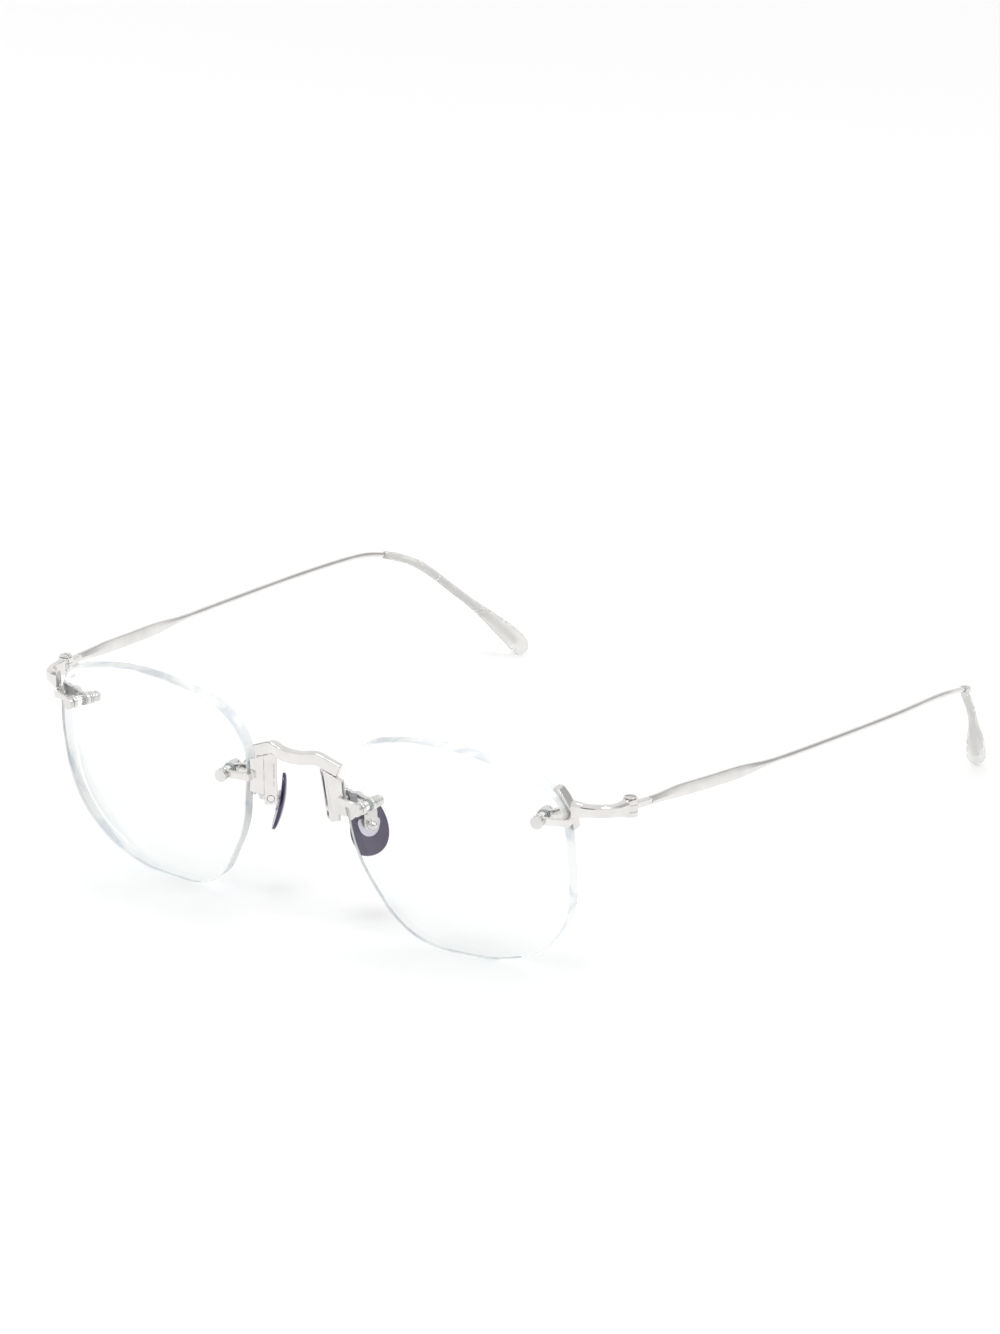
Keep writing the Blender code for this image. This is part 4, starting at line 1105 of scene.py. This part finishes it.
def lens_edge():
    """The ground and buffed rim of the lens: pale and a little frosted, with long waves of painted
    reflection, blue-grey to white, in its colour.
    """
    # painted reflection streaks: slow noise waves move the edge's colour between blue-grey and white
    tones = ((0.77, 0.82, 0.865), (0.97, 0.985, 0.985))
    waves = (150.0, 3.0, 0.5, 0.8)
    made, tree, shader, _ = cloudy("lens_edge", 0.25, waves, tones, (0.06, 0.28), (0.38, 0.52))
    shader.inputs["IOR"].default_value = 1.5
    relief(tree, shader, noise(tree, on_piece(tree), 5000.0, 3.0), 0.08, 0.02 * MM)
    clear_through(tree, shader, (0.9, 0.92, 0.92))
    return made


def clear_tip():
    """The tips' clear plastic: a little milky, with slow waves in its surface and a trace of warm tint."""
    tones = ((0.86, 0.855, 0.84), (0.94, 0.935, 0.925))
    made, tree, shader, wave = cloudy("clear_tip", 0.62, (400.0, 3.0), tones, (0.16, 0.34))
    shader.inputs["IOR"].default_value = 1.47
    relief(tree, shader, wave, 0.15, 0.05 * MM)
    clear_through(tree, shader, (0.88, 0.88, 0.87))
    return made


def clear_nylon():
    """The bushing's plastic: milky clear, faintly uneven."""
    tones = ((0.80, 0.83, 0.82), (0.93, 0.95, 0.94))
    return cloudy("clear_nylon", 0.5, (900.0, 3.0), tones, (0.15, 0.4))[0]


MATERIALS = {
    "lens": [lens_glass(), lens_edge()],
    "frame_metal": [metal("frame_metal", (0.80, 0.78, 0.765), 0.09)],
    "clear_tip": [clear_tip()],
    "screw_metal": [metal("screw_metal", (0.74, 0.73, 0.715), 0.13, 1.6, turned=True)],
    # nose pads: the metal's own slight violet tint, darkened almost to black as a painted reflection of a
    # dark surround
    "pad_metal": [metal("pad_metal", (0.085, 0.075, 0.13), 0.14)],
    "plate_metal": [metal("plate_metal", (0.70, 0.68, 0.76), 0.22)],
    "bushing": [clear_nylon()],
}


# --- Assembly


def fit(obj, node, slot_name, body):
    """Names the piece for its CAD node, gives it its finish, and hangs it on its body."""
    obj.name = f"{node}_fine"
    obj.data.name = obj.name
    kept = [face.material_index for face in obj.data.polygons] if slot_name == "lens" else None
    obj.data.materials.clear()
    for finish in MATERIALS[slot_name]:
        obj.data.materials.append(finish)
    if kept:
        obj.data.polygons.foreach_set("material_index", kept)
    obj.data.shade_smooth()
    obj.data.set_sharp_from_angle(angle=SHARP)
    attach(obj, body)
    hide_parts(node)


def mirrored(obj):
    """The same mesh for the other side, turned right way out again."""
    mesh = obj.data.copy()
    mesh.transform(Matrix.Diagonal((-1.0, 1.0, 1.0, 1.0)))
    mesh.flip_normals()
    return place(obj.name, mesh, Matrix())


def left_side():
    """Every piece of the wearer's left side, with its CAD name, its material slot and its body."""
    made = [("lens", lens(), "lens", "front")]
    for spot, hole, side, prongs, depth in (
        ("temporal", TEMPORAL_HOLE, 1, TEMPORAL_PRONGS, TEMPORAL_SHOE),
        ("nasal", NASAL_HOLE, -1, NASAL_PRONGS, NASAL_SHOE),
    ):
        for name, maker, slot_name in (
            ("screw", lens_screw, "screw_metal"),
            ("bushing", lens_bushing, "bushing"),
            ("washer", lens_washer, "screw_metal"),
            ("nut", lens_nut, "screw_metal"),
        ):
            made.append((f"{spot}_{name}", maker(hole), slot_name, "front"))
        made.append((f"{spot}_clamp", clamp(hole, side, prongs, depth), "frame_metal", "front"))
    for name, maker, slot_name, body in (
        ("endpiece", endpiece, "frame_metal", "front"),
        ("hinge_screw", hinge_screw, "screw_metal", "front"),
        ("pad_arm", pad_arm, "frame_metal", "front"),
        ("pad_post", pad_post, "frame_metal", "front"),
        ("temple_hinge", temple_knuckle, "frame_metal", "temple"),
        ("temple", temple, "frame_metal", "temple"),
        ("temple_tip", temple_tip, "clear_tip", "temple"),
        ("nose_pad", pad, "pad_metal", "pad"),
        ("pad_plate", pad_plate, "plate_metal", "pad"),
        ("pad_ball", pad_ball, "screw_metal", "pad"),
    ):
        made.append((name, maker(), slot_name, body))
    return made


def build():
    for name, obj, slot_name, body in left_side():
        twin = mirrored(obj)
        for hand, piece in (("left", obj), ("right", twin)):
            fit(piece, f"{hand}_{name}", slot_name, "front" if body == "front" else f"{hand}_{body}")
    fit(bridge(), "bridge", "frame_metal", "front")


def floor():
    """A wide matt sheet under the spectacles."""
    bm = bmesh.new()
    bmesh.ops.create_grid(bm, x_segments=24, y_segments=24, size=FLOOR_REACH)
    obj = place("floor", mesh_from(bm, "floor"), Matrix())
    made, tree, shader = nodes_of("floor_paper")
    shader.inputs["Roughness"].default_value = 1.0
    shader.inputs["Specular IOR Level"].default_value = 0.0
    cloud = noise(tree, on_piece(tree), 3.0, 2.0)
    tree.links.new(colour_ramp(tree, cloud, *FLOOR_TONES), shader.inputs["Base Color"])
    obj.data.materials.append(made)


def towards(azimuth, elevation):
    """Unit direction from the spectacles. Azimuth is from the front, towards the wearer's left."""
    flat = math.cos(elevation)
    return Vector((math.sin(azimuth) * flat, -math.cos(azimuth) * flat, math.sin(elevation)))


def area_lamp(name, azimuth, elevation, distance, size, power):
    """A square soft box that faces the spectacles."""
    data = bpy.data.lights.new(name, "AREA")
    data.size = size
    data.energy = power
    obj = place(name, data, Matrix())
    back = towards(math.radians(azimuth), math.radians(elevation))
    obj.location = AIM + back * distance
    obj.rotation_euler = back.to_track_quat("Z", "Y").to_euler()


def studio():
    """A bright white tent that is open and dark where the camera looks in, and small soft boxes."""
    world = bpy.data.worlds.new("tent")
    bpy.context.scene.world = world
    world.use_nodes = True
    tree = world.node_tree
    link = tree.links.new
    where = add(tree, "ShaderNodeTexCoord")
    wall = (TENT_WHITE, TENT_WHITE, TENT_WHITE, 1.0)
    colour = None
    for azimuth, elevation, inner, outer, level in DARK_OPENINGS:
        facing = add(tree, "ShaderNodeVectorMath", operation="DOT_PRODUCT")
        facing.inputs[1].default_value = towards(math.radians(azimuth), math.radians(elevation))
        link(where.outputs["Generated"], facing.inputs[0])
        share = add(tree, "ShaderNodeMapRange")
        share.interpolation_type = "SMOOTHSTEP"
        share.inputs["From Min"].default_value = math.cos(math.radians(outer))
        share.inputs["From Max"].default_value = math.cos(math.radians(inner))
        link(facing.outputs["Value"], share.inputs["Value"])
        blend = add(tree, "ShaderNodeMix", data_type="RGBA")
        blend.inputs[7].default_value = (level, level, level, 1.0)
        if colour is None:
            blend.inputs[6].default_value = wall
        else:
            link(colour, blend.inputs[6])
        link(share.outputs["Result"], blend.inputs[0])
        colour = blend.outputs[2]
    link(colour, tree.nodes["Background"].inputs["Color"])
    for name, azimuth, elevation, distance, size, power in LAMPS:
        area_lamp(name, azimuth, elevation, distance, size, power)


def camera():
    data = bpy.data.cameras.new("camera")
    data.lens = FOCAL
    data.sensor_width = SENSOR
    data.sensor_fit = "HORIZONTAL"
    data.clip_start = 0.05
    data.clip_end = 50.0
    obj = place("camera", data, Matrix())
    back = towards(AZIMUTH, ELEVATION)
    obj.location = AIM + back * DISTANCE
    obj.rotation_euler = (-back).to_track_quat("-Z", "Y").to_euler()
    bpy.context.scene.camera = obj


build()
floor()
studio()
camera()
bpy.context.scene.view_settings.view_transform = "Standard"
